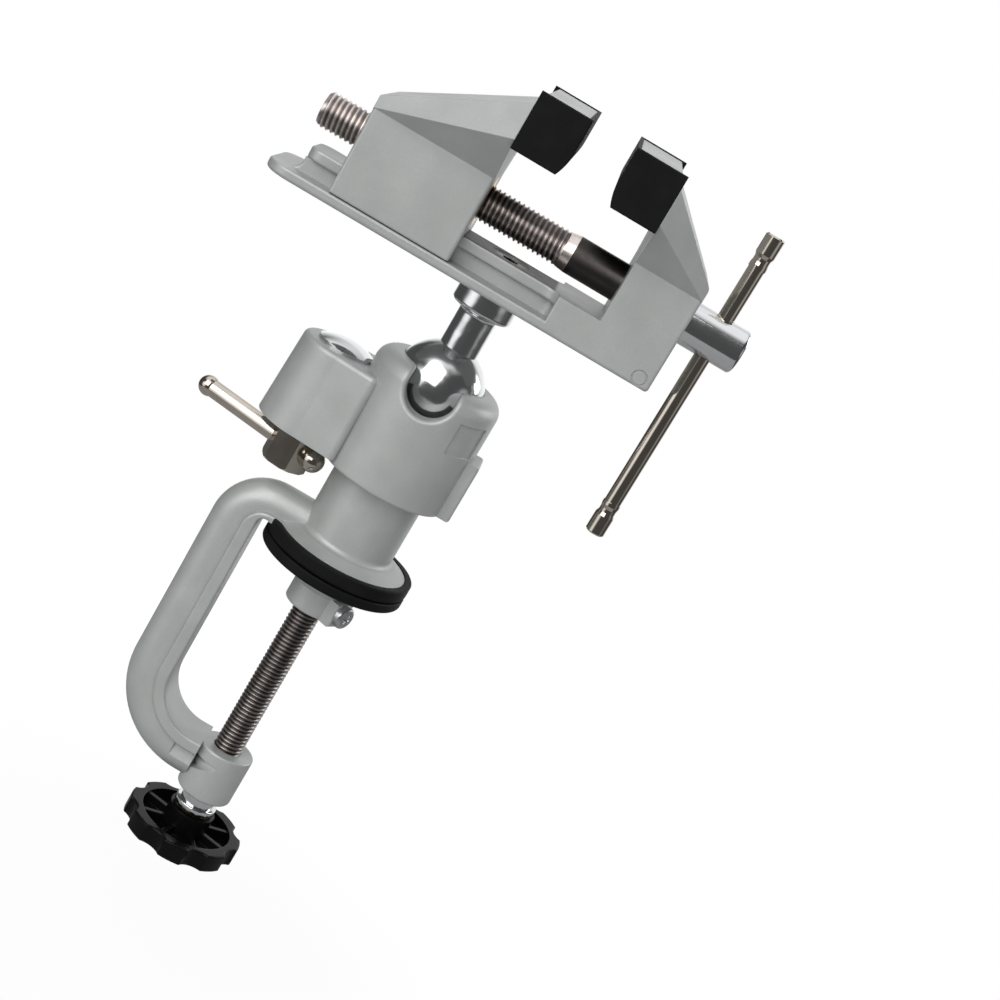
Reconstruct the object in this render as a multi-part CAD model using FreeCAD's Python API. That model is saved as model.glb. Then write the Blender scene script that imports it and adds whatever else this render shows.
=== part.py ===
import FreeCAD, Part
import math
import os

# A small cast-aluminium bench vise. A C-frame with a clamp screw holds it on a table's edge, a ball
# joint tilts and turns its head, and one side lever locks the ball and the swivel together.
# Millimetres, +Z up. The origin is the centre of the face that the upper rubber pad lays on the
# table. The lead screw's head points to +X, the socket's notch faces -Y, the C-frame is at -X.

# ---- fits -------------------------------------------------------------------------------------
RUNNING = 0.05  # radial play of a shaft in its bearing
SLIDING = 0.25  # play of the jaw on its rail, per face
SEATED = 0.02  # play of a piece that stays where it is fitted
GAP = 0.3  # air between faces that pass or meet
PAST = 1.0  # how far a cutting shape reaches past what it cuts

# ---- table clamp ------------------------------------------------------------------------------
PAD_RADIUS = 25.9
PAD_FLOOR = 2.5  # rubber between the table and the flange
PAD_EDGE = 1.2  # rounding of the rubber's outer edges
FLANGE_RADIUS = 23.4
FLANGE_RIM = 2.3
FLANGE_RISE = 2.2  # the flange's cone, from its rim to the post
FLANGE_BLEND = 5.0  # hollow fillet between the flange and the arm
POST_RADIUS = 16.0
POST_FILLET = 2.0
POST_TOP = 31.3
SPIGOT_RADIUS = 13.0
SPIGOT_HEIGHT = 10.6
SPIGOT_EDGE = 1.0
CIRCLIP_WIDTH = 1.2
CIRCLIP_SEAT = 7.5  # from the post's top to the circlip
CIRCLIP_GROOVE = 1.1
CIRCLIP_REACH = 2.0

WEB_THICK = 4.4
WEB_WIDTH = 19.0
RIB_WIDTH = 15.0  # the half-round back of the C-frame
RIB_DEPTH = 11.3
SPINE_REACH = 32.8  # post axis to the line where web and rib meet
ARM_RIB_BASE = 2.6
THROAT = 77.8  # clamping face to the lower arm's top
TOP_BEND = 7.5
LOW_BEND = 21.0
BOSS_RADIUS = 9.9
BOSS_HEIGHT = 18.1
BOSS_EDGE = 0.8
SHOULDER_ROUND = 4.0  # the boss's round shoulder under the arm, on the spine's side
SHOULDER_TILT = 30.0
SHOULDER_REACH = 6.0
ARM_EDGE = 0.9
POCKET_LENGTH = 8.0  # shallow hollows beside the rib, next to the boss, that fade out downwards
POCKET_DEPTH = 1.7
POCKET_HEIGHT = 5.5

SCREW_RADIUS = 5.0  # M10
PRESS_PAD_FLOOR = 2.0
PRESS_PLATE_RADIUS = 22.5
PRESS_PLATE_THICK = 1.7
PLATE_NECK_RADIUS = 16.0
COLLAR_RADIUS = 9.25
COLLAR_FLARE = 6.8
COLLAR_BOTTOM = 18.8  # clamping face to the collar's lower end
SCREW_TIP = 6.2
LUG_WIDTH = 8.6
LUG_REACH = 12.4
LUG_TOP = 10.2
PLATE_SCREW_ANGLE = -30.0
PLATE_SCREW_DROP = 14.0
PLATE_SCREW_RADIUS = 1.95
PLATE_SCREW_HEAD = 4.1
PLATE_SCREW_HEAD_HEIGHT = 2.5
SCREW_GROOVE_RADIUS = 3.7
SCREW_GROOVE_WIDTH = 4.4

STOP_RADIUS = 7.4  # the collar that meets the boss when the clamp is closed
STOP_HEIGHT = 6.6
SCREW_BARE = 0.8  # thread that shows between the collar and the knob
KNOB_RADIUS = 20.8
KNOB_HEIGHT = 6.6
KNOB_LOBES = 8  # each hollow between two lobes has a rib behind it
KNOB_TURN = 5.0
SCALLOP_RADIUS = 6.0
SCALLOP_DEPTH = 1.9
KNOB_WALL = 2.4
KNOB_FLOOR = 3.0
KNOB_HUB_RADIUS = 8.2
KNOB_HUB_RISE = 4.8
KNOB_RIB = 1.6
KNOB_RIB_DROP = 0.6
KNOB_EDGE = 0.7
INSERT_RADIUS = 6.3
INSERT_HEIGHT = 8.0

# ---- ball joint -------------------------------------------------------------------------------
BALL_RADIUS = 15.4
BALL_Z = 68.0
NECK_RADIUS = 6.6
NECK_BLEND = 1.6
STUD_COLLAR_RADIUS = 10.4
STUD_COLLAR_HEIGHT = 7.6
STUD_COLLAR_EDGE = 1.6
STUD_SHOULDER = 35.3  # ball centre to the face under the vise base
STUD_PILOT_RADIUS = 6.0
STUD_PILOT_HEIGHT = 2.6

HOUSING_RADIUS = 22.3
HOUSING_BASE = 31.5
RIM_RISE = 5.0  # ball centre to the socket's rim
RIM_SHOULDER = 5.5
HOUSING_EDGE = 1.0
NOTCH_HALF = 8.4
NOTCH_FLOOR = 7.5  # ball centre to the notch's bottom
NOTCH_LIP = 1.2
LINER_THICK = 1.5
LINER_TOP = -34.0  # latitude of the liner's edge on the ball, degrees
SOCKET_TOP = -1.0  # ball centre to the top of the liner's room
PISTON_RADIUS = 12.5
PISTON_BOTTOM = 49.1
CHAMBER_RADIUS = 16.0
CHAMBER_TOP = 47.4
PLUNGER_RADIUS = 3.5
PLUNGER_CONE = 2.4
PLUNGER_INNER_END = -7.0

SIDE_X = -31.4
SIDE_TOP_RADIUS = 14.3
SIDE_BASE_RADIUS = 15.7
SIDE_BASE = 33.2
SIDE_TOP = 63.2
SIDE_EDGE = 1.8
SIDE_END = -16.4  # where the flat sides end, proud of the barrel
SIDE_FLARE = 2.2
SIDE_CORNER = 2.0
SIDE_BORE_RADIUS = 7.6
SIDE_FLOOR = 2.6
COTTER_TOP = 60.0
COTTER_SPLIT = 2.0  # free space between the two cotters
BOLT_RADIUS = 4.0
CAP_RADIUS = 9.65
CAP_RECESS = 1.2
CAP_BAND = 2.2
CAP_DOME = 2.4
EAR_WIDTH = 15.0
EAR_REACH = 25.3
EAR_BASE = 32.0
EAR_TOP = 53.0
EAR_EDGE = 1.0
PANEL_ANGLE = -38.0
PANEL_WIDTH = 13.0
PANEL_HEIGHT = 11.0
PANEL_Z = 59.6
PANEL_DEPTH = 0.5

HUB_FLATS = 14.4
HUB_HEIGHT = 13.5
HUB_EDGE = 0.8
HUB_TURN = 6.5  # the hexagon against the bar
LEVER_ANGLE = -19.3
LEVER_DROP = 7.0  # housing to the lever bar's axis
LEVER_RADIUS = 3.05
LEVER_LENGTH = 36.4
LEVER_BALL = 3.6
LEVER_CAP = 4.2
LEVER_CAP_REACH = 8.9

# ---- vise head --------------------------------------------------------------------------------
BASE_WIDTH = 37.0
SLAB_THICK = 3.5
SLAB_LEFT = -80.3
SLAB_END_RADIUS = 9.0
RAIL_WIDTH = 21.0
RAIL_WEB_WIDTH = 17.0
RAIL_LEFT = -71.0
RAIL_END_RADIUS = 5.0
RAIL_WEB_HEIGHT = 4.8
RAIL_TOP_HEIGHT = 3.9
RAIL_EDGE = 0.8
RAIL_FOOT = 3.2  # the hollow foot at the rail's free end
STEP_LEFT = 18.8
STEP_BLEND = 5.0  # hollow fillets that lead the rail into the step
STEP_WEB_BLEND = 2.5
STEP_EDGE = 0.8
SLAB_TOP_EDGE = 0.8
SLAB_LOW_EDGE = 1.2
MARK_X = 53.0  # the ejector pin's mark on the slab's front
MARK_RISE = 3.0
MARK_RADIUS = 2.6
MARK_WIDTH = 0.5
MARK_DEPTH = 0.3
FIXED_INNER = 33.6
FIXED_OUTER = 57.4
MOVING_INNER = -16.1
MOVING_OUTER = -58.7
SHOULDER_Z = 136.3
JAW_WIDTH = 70.0
ROOF_LOW = 140.7  # the roof's lower edge, on the outer face
ROOF_HIGH = 163.0  # the roof's upper edge, over the gripping side
WING_LOW = 151.0  # lower corner of each wing
JAW_EDGE = 1.1
FIXED_ROOF_EDGE = 2.6
MOVING_ROOF_EDGE = 0.9
JAW_LOW_EDGE = 0.6
TIP_LENGTH = 16.1
TIP_TOP = 166.9
TIP_BOTTOM = 149.9
TIP_STRAIGHT = 10.6  # the gripping side is upright this far down, and leans back in an arc below
TIP_ARC = 17.5
BOOT_WALL = 1.8
BOOT_BACK = 1.7  # the boot's sides reach this far past the metal's raised top
BOOT_STAND = 0.4  # the boot's upper edge over the metal
BOOT_NOSE = 1.2
BOOT_EDGE = 0.5

LEAD_Z = 126.6
LEAD_RADIUS = 6.0  # M12
LEAD_LEFT = -74.4
LEAD_CHAMFER = 1.2
LEAD_THREAD_END = 13.0
LEAD_TAPER = 3.0
LEAD_SHANK_RADIUS = 6.4  # the smooth part that turns in the fixed jaw
LEAD_HEAD_RADIUS = 7.55
LEAD_HEAD_LENGTH = 20.2
LEAD_HEAD_EDGE = 1.4
LEAD_BORE_PLAY = 0.6  # the screw runs free through the moving jaw
NUT_RADIUS = 9.0
NUT_LENGTH = 15.0
PIN_X = 45.5
PIN_RADIUS = 1.5
PIN_GROOVE_RADIUS = 4.0
PIN_DROP = 8.0
TOMMY_X = 68.0
TOMMY_RADIUS = 2.85
TOMMY_ABOVE = 37.2  # screw axis to the bar's upper end
TOMMY_BELOW = 74.3
TOMMY_END_RADIUS = 3.35
TOMMY_END_LENGTH = 11.8
TOMMY_CRIMP = 0.5
STUD_BOLT_RADIUS = 4.0
STUD_BOLT_HEAD = 6.6
STUD_BOLT_LENGTH = 26.0
STUD_BOLT_SINK = 0.5

# ---- places worked out from the sizes above ---------------------------------------------------
FLANGE_Z = PAD_FLOOR + FLANGE_RIM
SPIGOT_TOP = POST_TOP + SPIGOT_HEIGHT
CIRCLIP_Z = POST_TOP + CIRCLIP_SEAT
BEARING_TOP = CIRCLIP_Z - GAP
TOP_INNER_BEND = SPINE_REACH - WEB_THICK - PAD_RADIUS - GAP
LOW_WEB_Z = -THROAT - WEB_THICK
BOSS_BOTTOM = -THROAT - BOSS_HEIGHT
PLATE_TOP = -GAP - PRESS_PAD_FLOOR
PLATE_BOTTOM = PLATE_TOP - PRESS_PLATE_THICK
STOP_TOP = BOSS_BOTTOM - GAP
STOP_BOTTOM = STOP_TOP - STOP_HEIGHT
HUB_TOP = STOP_BOTTOM - SCREW_BARE
KNOB_TOP = HUB_TOP - KNOB_HUB_RISE
KNOB_BOTTOM = KNOB_TOP - KNOB_HEIGHT
RIM_Z = BALL_Z + RIM_RISE
SOCKET_RADIUS = BALL_RADIUS + RUNNING
LINER_OUTER = SOCKET_RADIUS + LINER_THICK
LINER_ROOM = LINER_OUTER + GAP
PLUNGER_Z = (SPIGOT_TOP + PISTON_BOTTOM) / 2
BOLT_FACE = SIDE_TOP - CAP_RECESS
HUB_CORNER = HUB_FLATS / math.sqrt(3)
LEVER_Z = SIDE_BASE - LEVER_DROP
SLAB_BOTTOM = BALL_Z + STUD_SHOULDER
SLAB_TOP = SLAB_BOTTOM + SLAB_THICK
RAIL_NECK_Z = SLAB_TOP + RAIL_WEB_HEIGHT
RAIL_TOP = RAIL_NECK_Z + RAIL_TOP_HEIGHT
MOVING_BOTTOM = SLAB_TOP + GAP
TIP_ARC_TOP = TIP_TOP - TIP_STRAIGHT
FIXED_TIP = FIXED_INNER - TIP_LENGTH
MOVING_TIP = MOVING_INNER + TIP_LENGTH
LEAD_HEAD_FACE = FIXED_OUTER + GAP


def vec(x, y, z):
    return FreeCAD.Vector(x, y, z)


def box(x0, x1, y0, y1, z0, z1):
    return Part.makeBox(x1 - x0, y1 - y0, z1 - z0, vec(x0, y0, z0))


def rod_z(radius, z0, z1, x=0.0, y=0.0):
    return Part.makeCylinder(radius, z1 - z0, vec(x, y, z0))


def rod_x(radius, x0, x1, z):
    return Part.makeCylinder(radius, x1 - x0, vec(x0, 0, z), vec(1, 0, 0))


def turned(profile):
    """A body of revolution about Z from (radius, height) points; a point triple makes an arc."""
    edges = []
    last = None
    for item in profile + [profile[0]]:
        if len(item) == 3:
            start, through, end = (vec(r, 0, z) for r, z in item)
            if last is not None and last.distanceToPoint(start) > 1e-7:
                edges.append(Part.LineSegment(last, start).toShape())
            edges.append(Part.Arc(start, through, end).toShape())
            last = end
        else:
            point = vec(item[0], 0, item[1])
            if last is not None and last.distanceToPoint(point) > 1e-7:
                edges.append(Part.LineSegment(last, point).toShape())
            last = point
    face = Part.Face(Part.Wire(edges))
    return face.revolve(vec(0, 0, 0), vec(0, 0, 1), 360)


def corner_arc(corner, along, leaving, radius):
    """Start, middle and end of the rounding of a square corner, in (radius, height) points."""
    start = (corner[0] - along[0] * radius, corner[1] - along[1] * radius)
    end = (corner[0] + leaving[0] * radius, corner[1] + leaving[1] * radius)
    centre = (start[0] + leaving[0] * radius, start[1] + leaving[1] * radius)
    half = math.sqrt(0.5) * radius
    middle = (centre[0] + (along[0] - leaving[0]) * half, centre[1] + (along[1] - leaving[1]) * half)
    return (start, middle, end)


def dome_arc(radius, base, rise):
    """The arc of a domed top, from its edge up to the axis, in (radius, height) points."""
    sphere = (radius * radius + rise * rise) / (2 * rise)
    half = math.asin(radius / sphere) / 2
    middle = (sphere * math.sin(half), base + rise - sphere * (1 - math.cos(half)))
    return ((radius, base), middle, (0, base + rise))


def polygon_solid(faces):
    """A closed solid from flat faces, each a list of corner points in order."""
    made = [Part.Face(Part.makePolygon(list(face) + [face[0]])) for face in faces]
    shell = Part.makeShell(made)
    shell.sewShape()
    solid = Part.makeSolid(shell)
    if solid.Volume < 0:
        solid.reverse()
    return solid


def rounded(shape, radius, wanted):
    """The shape with each edge rounded whose middle point and direction pass the test."""
    chosen = []
    for edge in shape.Edges:
        middle = edge.valueAt((edge.FirstParameter + edge.LastParameter) / 2)
        if edge.Length > 1e-6 and wanted(edge, middle):
            chosen.append(edge)
    return shape.makeFillet(radius, chosen)


def is_straight(edge):
    return isinstance(edge.Curve, (Part.Line, Part.LineSegment))


def is_round(edge):
    return isinstance(edge.Curve, Part.Circle)


def near(value, target):
    return abs(value - target) < 1e-4


def save(name, shape):
    solids = shape.Solids
    clean = solids[0] if len(solids) == 1 else Part.makeCompound(solids)
    if not clean.isValid():
        raise ValueError(f"{name} is not a valid solid")
    clean.exportStep(os.path.join("parts", f"{name}.step"))


# ---- table clamp ------------------------------------------------------------------------------
def bent_line(reach, top_z, low_z, top_bend, low_bend, start_x):
    """Edges of a C-shaped line in the XZ plane: along the top arm, down the spine, along the low arm."""
    half = math.sqrt(0.5)
    top_centre = vec(-reach + top_bend, 0, top_z - top_bend)
    low_centre = vec(-reach + low_bend, 0, low_z + low_bend)
    points = [
        vec(start_x, 0, top_z),
        top_centre + vec(0, 0, top_bend),
        top_centre + vec(-top_bend * half, 0, top_bend * half),
        top_centre + vec(-top_bend, 0, 0),
        low_centre + vec(-low_bend, 0, 0),
        low_centre + vec(-low_bend * half, 0, -low_bend * half),
        low_centre + vec(0, 0, -low_bend),
        vec(start_x, 0, low_z),
    ]
    return [
        Part.LineSegment(points[0], points[1]).toShape(),
        Part.Arc(points[1], points[2], points[3]).toShape(),
        Part.LineSegment(points[3], points[4]).toShape(),
        Part.Arc(points[4], points[5], points[6]).toShape(),
        Part.LineSegment(points[6], points[7]).toShape(),
    ]


def c_rib():
    """The half-round back of the C-frame, swept along the C."""
    start_x = -POST_RADIUS / 2
    path = Part.Wire(
        bent_line(SPINE_REACH, ARM_RIB_BASE, LOW_WEB_Z, TOP_BEND, LOW_BEND, start_x)
    )
    half = RIB_WIDTH / 2
    side = ARM_RIB_BASE + RIB_DEPTH - half
    left = vec(start_x, -half, ARM_RIB_BASE)
    right = vec(start_x, half, ARM_RIB_BASE)
    section = Part.Wire(
        [
            Part.LineSegment(left, vec(start_x, -half, side)).toShape(),
            Part.Arc(
                vec(start_x, -half, side), vec(start_x, 0, side + half), vec(start_x, half, side)
            ).toShape(),
            Part.LineSegment(vec(start_x, half, side), right).toShape(),
            Part.LineSegment(right, left).toShape(),
        ]
    )
    rib = path.makePipeShell([section], True, False)
    right = -BOSS_RADIUS + POCKET_DEPTH
    hollows = []
    for sign in (-1, 1):
        corners = [
            (half - POCKET_DEPTH, LOW_WEB_Z + PAST),
            (half - POCKET_DEPTH, LOW_WEB_Z),
            (half, LOW_WEB_Z - POCKET_HEIGHT),
            (half + PAST, LOW_WEB_Z - POCKET_HEIGHT),
            (half + PAST, LOW_WEB_Z + PAST),
        ]
        points = [vec(right - POCKET_LENGTH, sign * y, z) for y, z in corners]
        face = Part.Face(Part.makePolygon(points + [points[0]]))
        hollows.append(face.extrude(vec(POCKET_LENGTH, 0, 0)))
    return rib.cut(hollows)


def c_web():
    """The flat inner flange of the C-frame."""
    start_x = -POST_RADIUS / 2
    outer = bent_line(SPINE_REACH, FLANGE_Z, LOW_WEB_Z, TOP_BEND, LOW_BEND, start_x)
    inner = bent_line(
        SPINE_REACH - WEB_THICK, PAD_FLOOR, -THROAT, TOP_INNER_BEND, LOW_BEND - WEB_THICK, start_x
    )
    ends = [
        Part.LineSegment(vec(start_x, 0, FLANGE_Z), vec(start_x, 0, PAD_FLOOR)).toShape(),
        Part.LineSegment(vec(start_x, 0, LOW_WEB_Z), vec(start_x, 0, -THROAT)).toShape(),
    ]
    wire = Part.Wire(Part.__sortEdges__(outer + inner + ends))
    face = Part.Face(wire)
    half = WEB_WIDTH / 2
    face.translate(vec(0, -half, 0))
    web = face.extrude(vec(0, WEB_WIDTH, 0))
    return rounded(
        web,
        ARM_EDGE,
        lambda edge, middle: near(abs(middle.y), half) and not near(middle.x, start_x),
    )


def flange_plan(play, back, top):
    """The disc under the post and the arm behind it, with a hollow fillet on each side."""
    half = WEB_WIDTH / 2 + play
    arm = box(back, 0, -half, half, PAD_FLOOR, top)
    joined = rod_z(FLANGE_RADIUS + play, PAD_FLOOR, top).fuse(arm).removeSplitter()
    return rounded(
        joined,
        FLANGE_BLEND - play,
        lambda edge, middle: is_straight(edge) and near(abs(middle.y), half)
        and near(middle.z, (PAD_FLOOR + top) / 2) and not near(middle.x, back),
    )


def lower_boss():
    """The boss that the clamp screw passes, with a round shoulder below the arm."""
    boss = rounded(
        rod_z(BOSS_RADIUS, BOSS_BOTTOM, -THROAT), BOSS_EDGE, lambda edge, middle: is_round(edge)
    )
    ring = rod_z(2 * BOSS_RADIUS, LOW_WEB_Z - SHOULDER_ROUND, LOW_WEB_Z + 2 * SHOULDER_ROUND)
    core = rounded(
        rod_z(BOSS_RADIUS, BOSS_BOTTOM, LOW_WEB_Z),
        SHOULDER_ROUND,
        lambda edge, middle: is_round(edge) and near(middle.z, LOW_WEB_Z),
    )
    shoulder = ring.cut(core)
    shoulder.rotate(vec(-SHOULDER_REACH, 0, LOW_WEB_Z), vec(0, 1, 0), -SHOULDER_TILT)
    below = rod_z(3 * BOSS_RADIUS, BOSS_BOTTOM, LOW_WEB_Z)
    return boss.cut(shoulder.common(below))


def clamp_frame():
    flange = flange_plan(0, -SPINE_REACH + TOP_BEND, FLANGE_Z)
    flange = rounded(
        flange,
        ARM_EDGE,
        lambda edge, middle: near(middle.z, FLANGE_Z) and middle.x > -SPINE_REACH + TOP_BEND + 1,
    )
    cone_edge = FLANGE_RADIUS - ARM_EDGE
    post = turned(
        [
            (0, PAD_FLOOR),
            (cone_edge, PAD_FLOOR),
            (cone_edge, FLANGE_Z),
            (POST_RADIUS + POST_FILLET, FLANGE_Z + FLANGE_RISE),
            (
                (POST_RADIUS + POST_FILLET, FLANGE_Z + FLANGE_RISE),
                (
                    POST_RADIUS + POST_FILLET * (1 - math.sqrt(0.5)),
                    FLANGE_Z + FLANGE_RISE + POST_FILLET * (1 - math.sqrt(0.5)),
                ),
                (POST_RADIUS, FLANGE_Z + FLANGE_RISE + POST_FILLET),
            ),
            (POST_RADIUS, POST_TOP),
            (SPIGOT_RADIUS, POST_TOP),
            (SPIGOT_RADIUS, CIRCLIP_Z - SEATED),
            (SPIGOT_RADIUS - CIRCLIP_GROOVE, CIRCLIP_Z - SEATED),
            (SPIGOT_RADIUS - CIRCLIP_GROOVE, CIRCLIP_Z + CIRCLIP_WIDTH + SEATED),
            (SPIGOT_RADIUS, CIRCLIP_Z + CIRCLIP_WIDTH + SEATED),
            (SPIGOT_RADIUS, SPIGOT_TOP - SPIGOT_EDGE),
            (SPIGOT_RADIUS - SPIGOT_EDGE, SPIGOT_TOP),
            (0, SPIGOT_TOP),
        ]
    )
    frame = c_web().fuse([c_rib(), flange, post, lower_boss()]).removeSplitter()
    bore = rod_z(SCREW_RADIUS + RUNNING, BOSS_BOTTOM - PAST, -THROAT + PAST)
    return frame.cut(bore)


def table_pad():
    pad = turned(
        [
            (0, 0),
            corner_arc((PAD_RADIUS, 0), (1, 0), (0, 1), PAD_EDGE),
            corner_arc((PAD_RADIUS, FLANGE_Z), (0, 1), (-1, 0), PAD_EDGE / 2),
            (0, FLANGE_Z),
        ]
    )
    return pad.cut(flange_plan(SEATED, -PAD_RADIUS - PAST, FLANGE_Z + PAST))


def post_circlip():
    inner = SPIGOT_RADIUS - CIRCLIP_GROOVE + SEATED
    outer = SPIGOT_RADIUS + CIRCLIP_REACH
    top = CIRCLIP_Z + CIRCLIP_WIDTH
    ring = rod_z(outer, CIRCLIP_Z, top).cut(rod_z(inner, CIRCLIP_Z - PAST, top + PAST))
    mouth = box(-CIRCLIP_REACH, CIRCLIP_REACH, 0, outer + PAST, CIRCLIP_Z - PAST, top + PAST)
    return ring.cut(mouth)


def pressure_pad():
    pocket = PRESS_PLATE_RADIUS + SEATED
    return turned(
        [
            (0, -GAP),
            (0, PLATE_TOP),
            (pocket, PLATE_TOP),
            (pocket, PLATE_BOTTOM),
            corner_arc((PAD_RADIUS, PLATE_BOTTOM), (1, 0), (0, 1), PAD_EDGE),
            corner_arc((PAD_RADIUS, -GAP), (0, 1), (-1, 0), PAD_EDGE / 2),
        ]
    )


def around_plate_screw(shape):
    """A shape modelled along +X, turned to the pressure plate's fixing screw."""
    shape.rotate(vec(0, 0, 0), vec(0, 0, 1), PLATE_SCREW_ANGLE)
    return shape


def pressure_plate():
    body = turned(
        [
            (0, PLATE_TOP),
            (PRESS_PLATE_RADIUS, PLATE_TOP),
            (PRESS_PLATE_RADIUS, PLATE_BOTTOM),
            (PLATE_NECK_RADIUS, PLATE_BOTTOM),
            (COLLAR_RADIUS, PLATE_BOTTOM - COLLAR_FLARE),
            corner_arc((COLLAR_RADIUS, -COLLAR_BOTTOM), (0, -1), (-1, 0), BOSS_EDGE),
            (0, -COLLAR_BOTTOM),
        ]
    )
    lug = box(0, LUG_REACH, -LUG_WIDTH / 2, LUG_WIDTH / 2, -COLLAR_BOTTOM, -LUG_TOP)
    lug = rounded(
        lug, BOSS_EDGE, lambda edge, middle: near(middle.x, LUG_REACH)
    )
    plate = body.fuse(around_plate_screw(lug)).removeSplitter()
    plate = plate.cut(rod_z(SCREW_RADIUS + RUNNING, -COLLAR_BOTTOM - PAST, -SCREW_TIP + GAP))
    thread = rod_x(PLATE_SCREW_RADIUS + SEATED, 0, LUG_REACH + PAST, -PLATE_SCREW_DROP)
    return plate.cut(around_plate_screw(thread))


def plate_screw():
    head = rod_x(
        PLATE_SCREW_HEAD, LUG_REACH, LUG_REACH + PLATE_SCREW_HEAD_HEIGHT, -PLATE_SCREW_DROP
    )
    outer_x = LUG_REACH + PLATE_SCREW_HEAD_HEIGHT
    head = rounded(
        head,
        PLATE_SCREW_HEAD_HEIGHT / 2,
        lambda edge, middle: is_round(edge) and near(middle.x, outer_x),
    )
    shank = rod_x(PLATE_SCREW_RADIUS, SCREW_GROOVE_RADIUS + GAP, LUG_REACH, -PLATE_SCREW_DROP)
    return around_plate_screw(head.fuse(shank).removeSplitter())


def clamp_screw():
    half = SCREW_GROOVE_WIDTH / 2
    groove_low = -PLATE_SCREW_DROP - half
    groove_high = -PLATE_SCREW_DROP + half
    low = KNOB_BOTTOM + KNOB_FLOOR / 2
    return turned(
        [
            (0, low),
            (SCREW_RADIUS, low),
            (SCREW_RADIUS, groove_low),
            (SCREW_GROOVE_RADIUS, groove_low),
            (SCREW_GROOVE_RADIUS, groove_high),
            (SCREW_RADIUS, groove_high),
            (SCREW_RADIUS, -SCREW_TIP - BOSS_EDGE),
            (SCREW_RADIUS - BOSS_EDGE, -SCREW_TIP),
            (0, -SCREW_TIP),
        ]
    )


def screw_collar():
    inner = SCREW_RADIUS + SEATED
    return turned(
        [
            (inner, STOP_BOTTOM),
            corner_arc((STOP_RADIUS, STOP_BOTTOM), (1, 0), (0, 1), BOSS_EDGE / 2),
            corner_arc((STOP_RADIUS, STOP_TOP), (0, 1), (-1, 0), BOSS_EDGE),
            (inner, STOP_TOP),
        ]
    )


def knob():
    body = rod_z(KNOB_RADIUS, KNOB_BOTTOM, KNOB_TOP)
    cutters = []
    pitch = 360 / KNOB_LOBES
    reach = KNOB_RADIUS - SCALLOP_DEPTH + SCALLOP_RADIUS
    for lobe in range(KNOB_LOBES):
        angle = math.radians((lobe + 0.5) * pitch + KNOB_TURN)
        x = reach * math.cos(angle)
        y = reach * math.sin(angle)
        cutters.append(rod_z(SCALLOP_RADIUS, KNOB_BOTTOM - PAST, KNOB_TOP + PAST, x, y))
    body = body.cut(cutters)
    body = rounded(body, KNOB_EDGE, lambda edge, middle: not is_straight(edge))
    rim_inner = KNOB_RADIUS - SCALLOP_DEPTH - KNOB_WALL
    floor = KNOB_BOTTOM + KNOB_FLOOR
    dish = rod_z(rim_inner, floor, KNOB_TOP + PAST).cut(rod_z(KNOB_HUB_RADIUS, floor, KNOB_TOP + PAST))
    ribs = []
    for lobe in range(KNOB_LOBES):
        rib = box(0, rim_inner + PAST, -KNOB_RIB / 2, KNOB_RIB / 2, floor - PAST, KNOB_TOP - KNOB_RIB_DROP)
        rib.rotate(vec(0, 0, 0), vec(0, 0, 1), (lobe + 0.5) * pitch + KNOB_TURN)
        ribs.append(rib)
    body = body.cut(dish.cut(ribs))
    hub = rod_z(KNOB_HUB_RADIUS, floor, HUB_TOP)
    body = body.fuse(hub).removeSplitter()
    seat = INSERT_RADIUS + SEATED
    return body.cut(rod_z(seat, HUB_TOP - INSERT_HEIGHT, HUB_TOP + PAST)).cut(
        rod_z(SCREW_RADIUS + SEATED, KNOB_BOTTOM + KNOB_FLOOR / 2 - SEATED, HUB_TOP)
    )


def knob_insert():
    low = HUB_TOP - INSERT_HEIGHT
    return rod_z(INSERT_RADIUS, low, HUB_TOP).cut(
        rod_z(SCREW_RADIUS + SEATED, low - PAST, HUB_TOP + PAST)
    )


# ---- ball joint -------------------------------------------------------------------------------
def side_outline(radius, z):
    """The plan of the side clamp housing: round at its end, with sides that widen to the barrel."""
    wide = radius + SIDE_FLARE
    corners = [
        vec(SIDE_X, radius, z),
        vec(SIDE_END, wide, z),
        vec(SIDE_END, -wide, z),
        vec(SIDE_X, -radius, z),
    ]
    edges = [Part.LineSegment(corners[k], corners[k + 1]).toShape() for k in range(3)]
    end = Part.Arc(corners[3], vec(SIDE_X - radius, 0, z), corners[0]).toShape()
    return Part.Wire(edges + [end])


def side_block():
    block = Part.makeLoft(
        [side_outline(SIDE_BASE_RADIUS, SIDE_BASE), side_outline(SIDE_TOP_RADIUS, SIDE_TOP)], True, True
    )
    block = rounded(
        block,
        SIDE_CORNER,
        lambda edge, middle: near(middle.x, SIDE_END) and abs(middle.y) > SIDE_TOP_RADIUS,
    )
    block = rounded(block, SIDE_EDGE, lambda edge, middle: near(middle.z, SIDE_TOP))
    return block.fuse(box(SIDE_END - SIDE_CORNER, 0, -SIDE_TOP_RADIUS, SIDE_TOP_RADIUS, SIDE_BASE, SIDE_TOP))


def side_bores():
    """Room in the side housing for the bolt, the two cotters and the plunger."""
    return [
        rod_z(SIDE_BORE_RADIUS, SIDE_BASE + SIDE_FLOOR, COTTER_TOP + GAP, SIDE_X),
        rod_z(BOLT_RADIUS + RUNNING, SIDE_BASE - PAST, SIDE_TOP + PAST, SIDE_X),
        rod_z(CAP_RADIUS + SEATED, BOLT_FACE, RIM_Z, SIDE_X),
        rod_x(PLUNGER_RADIUS + RUNNING, SIDE_X, PLUNGER_INNER_END, PLUNGER_Z),
    ]


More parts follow.
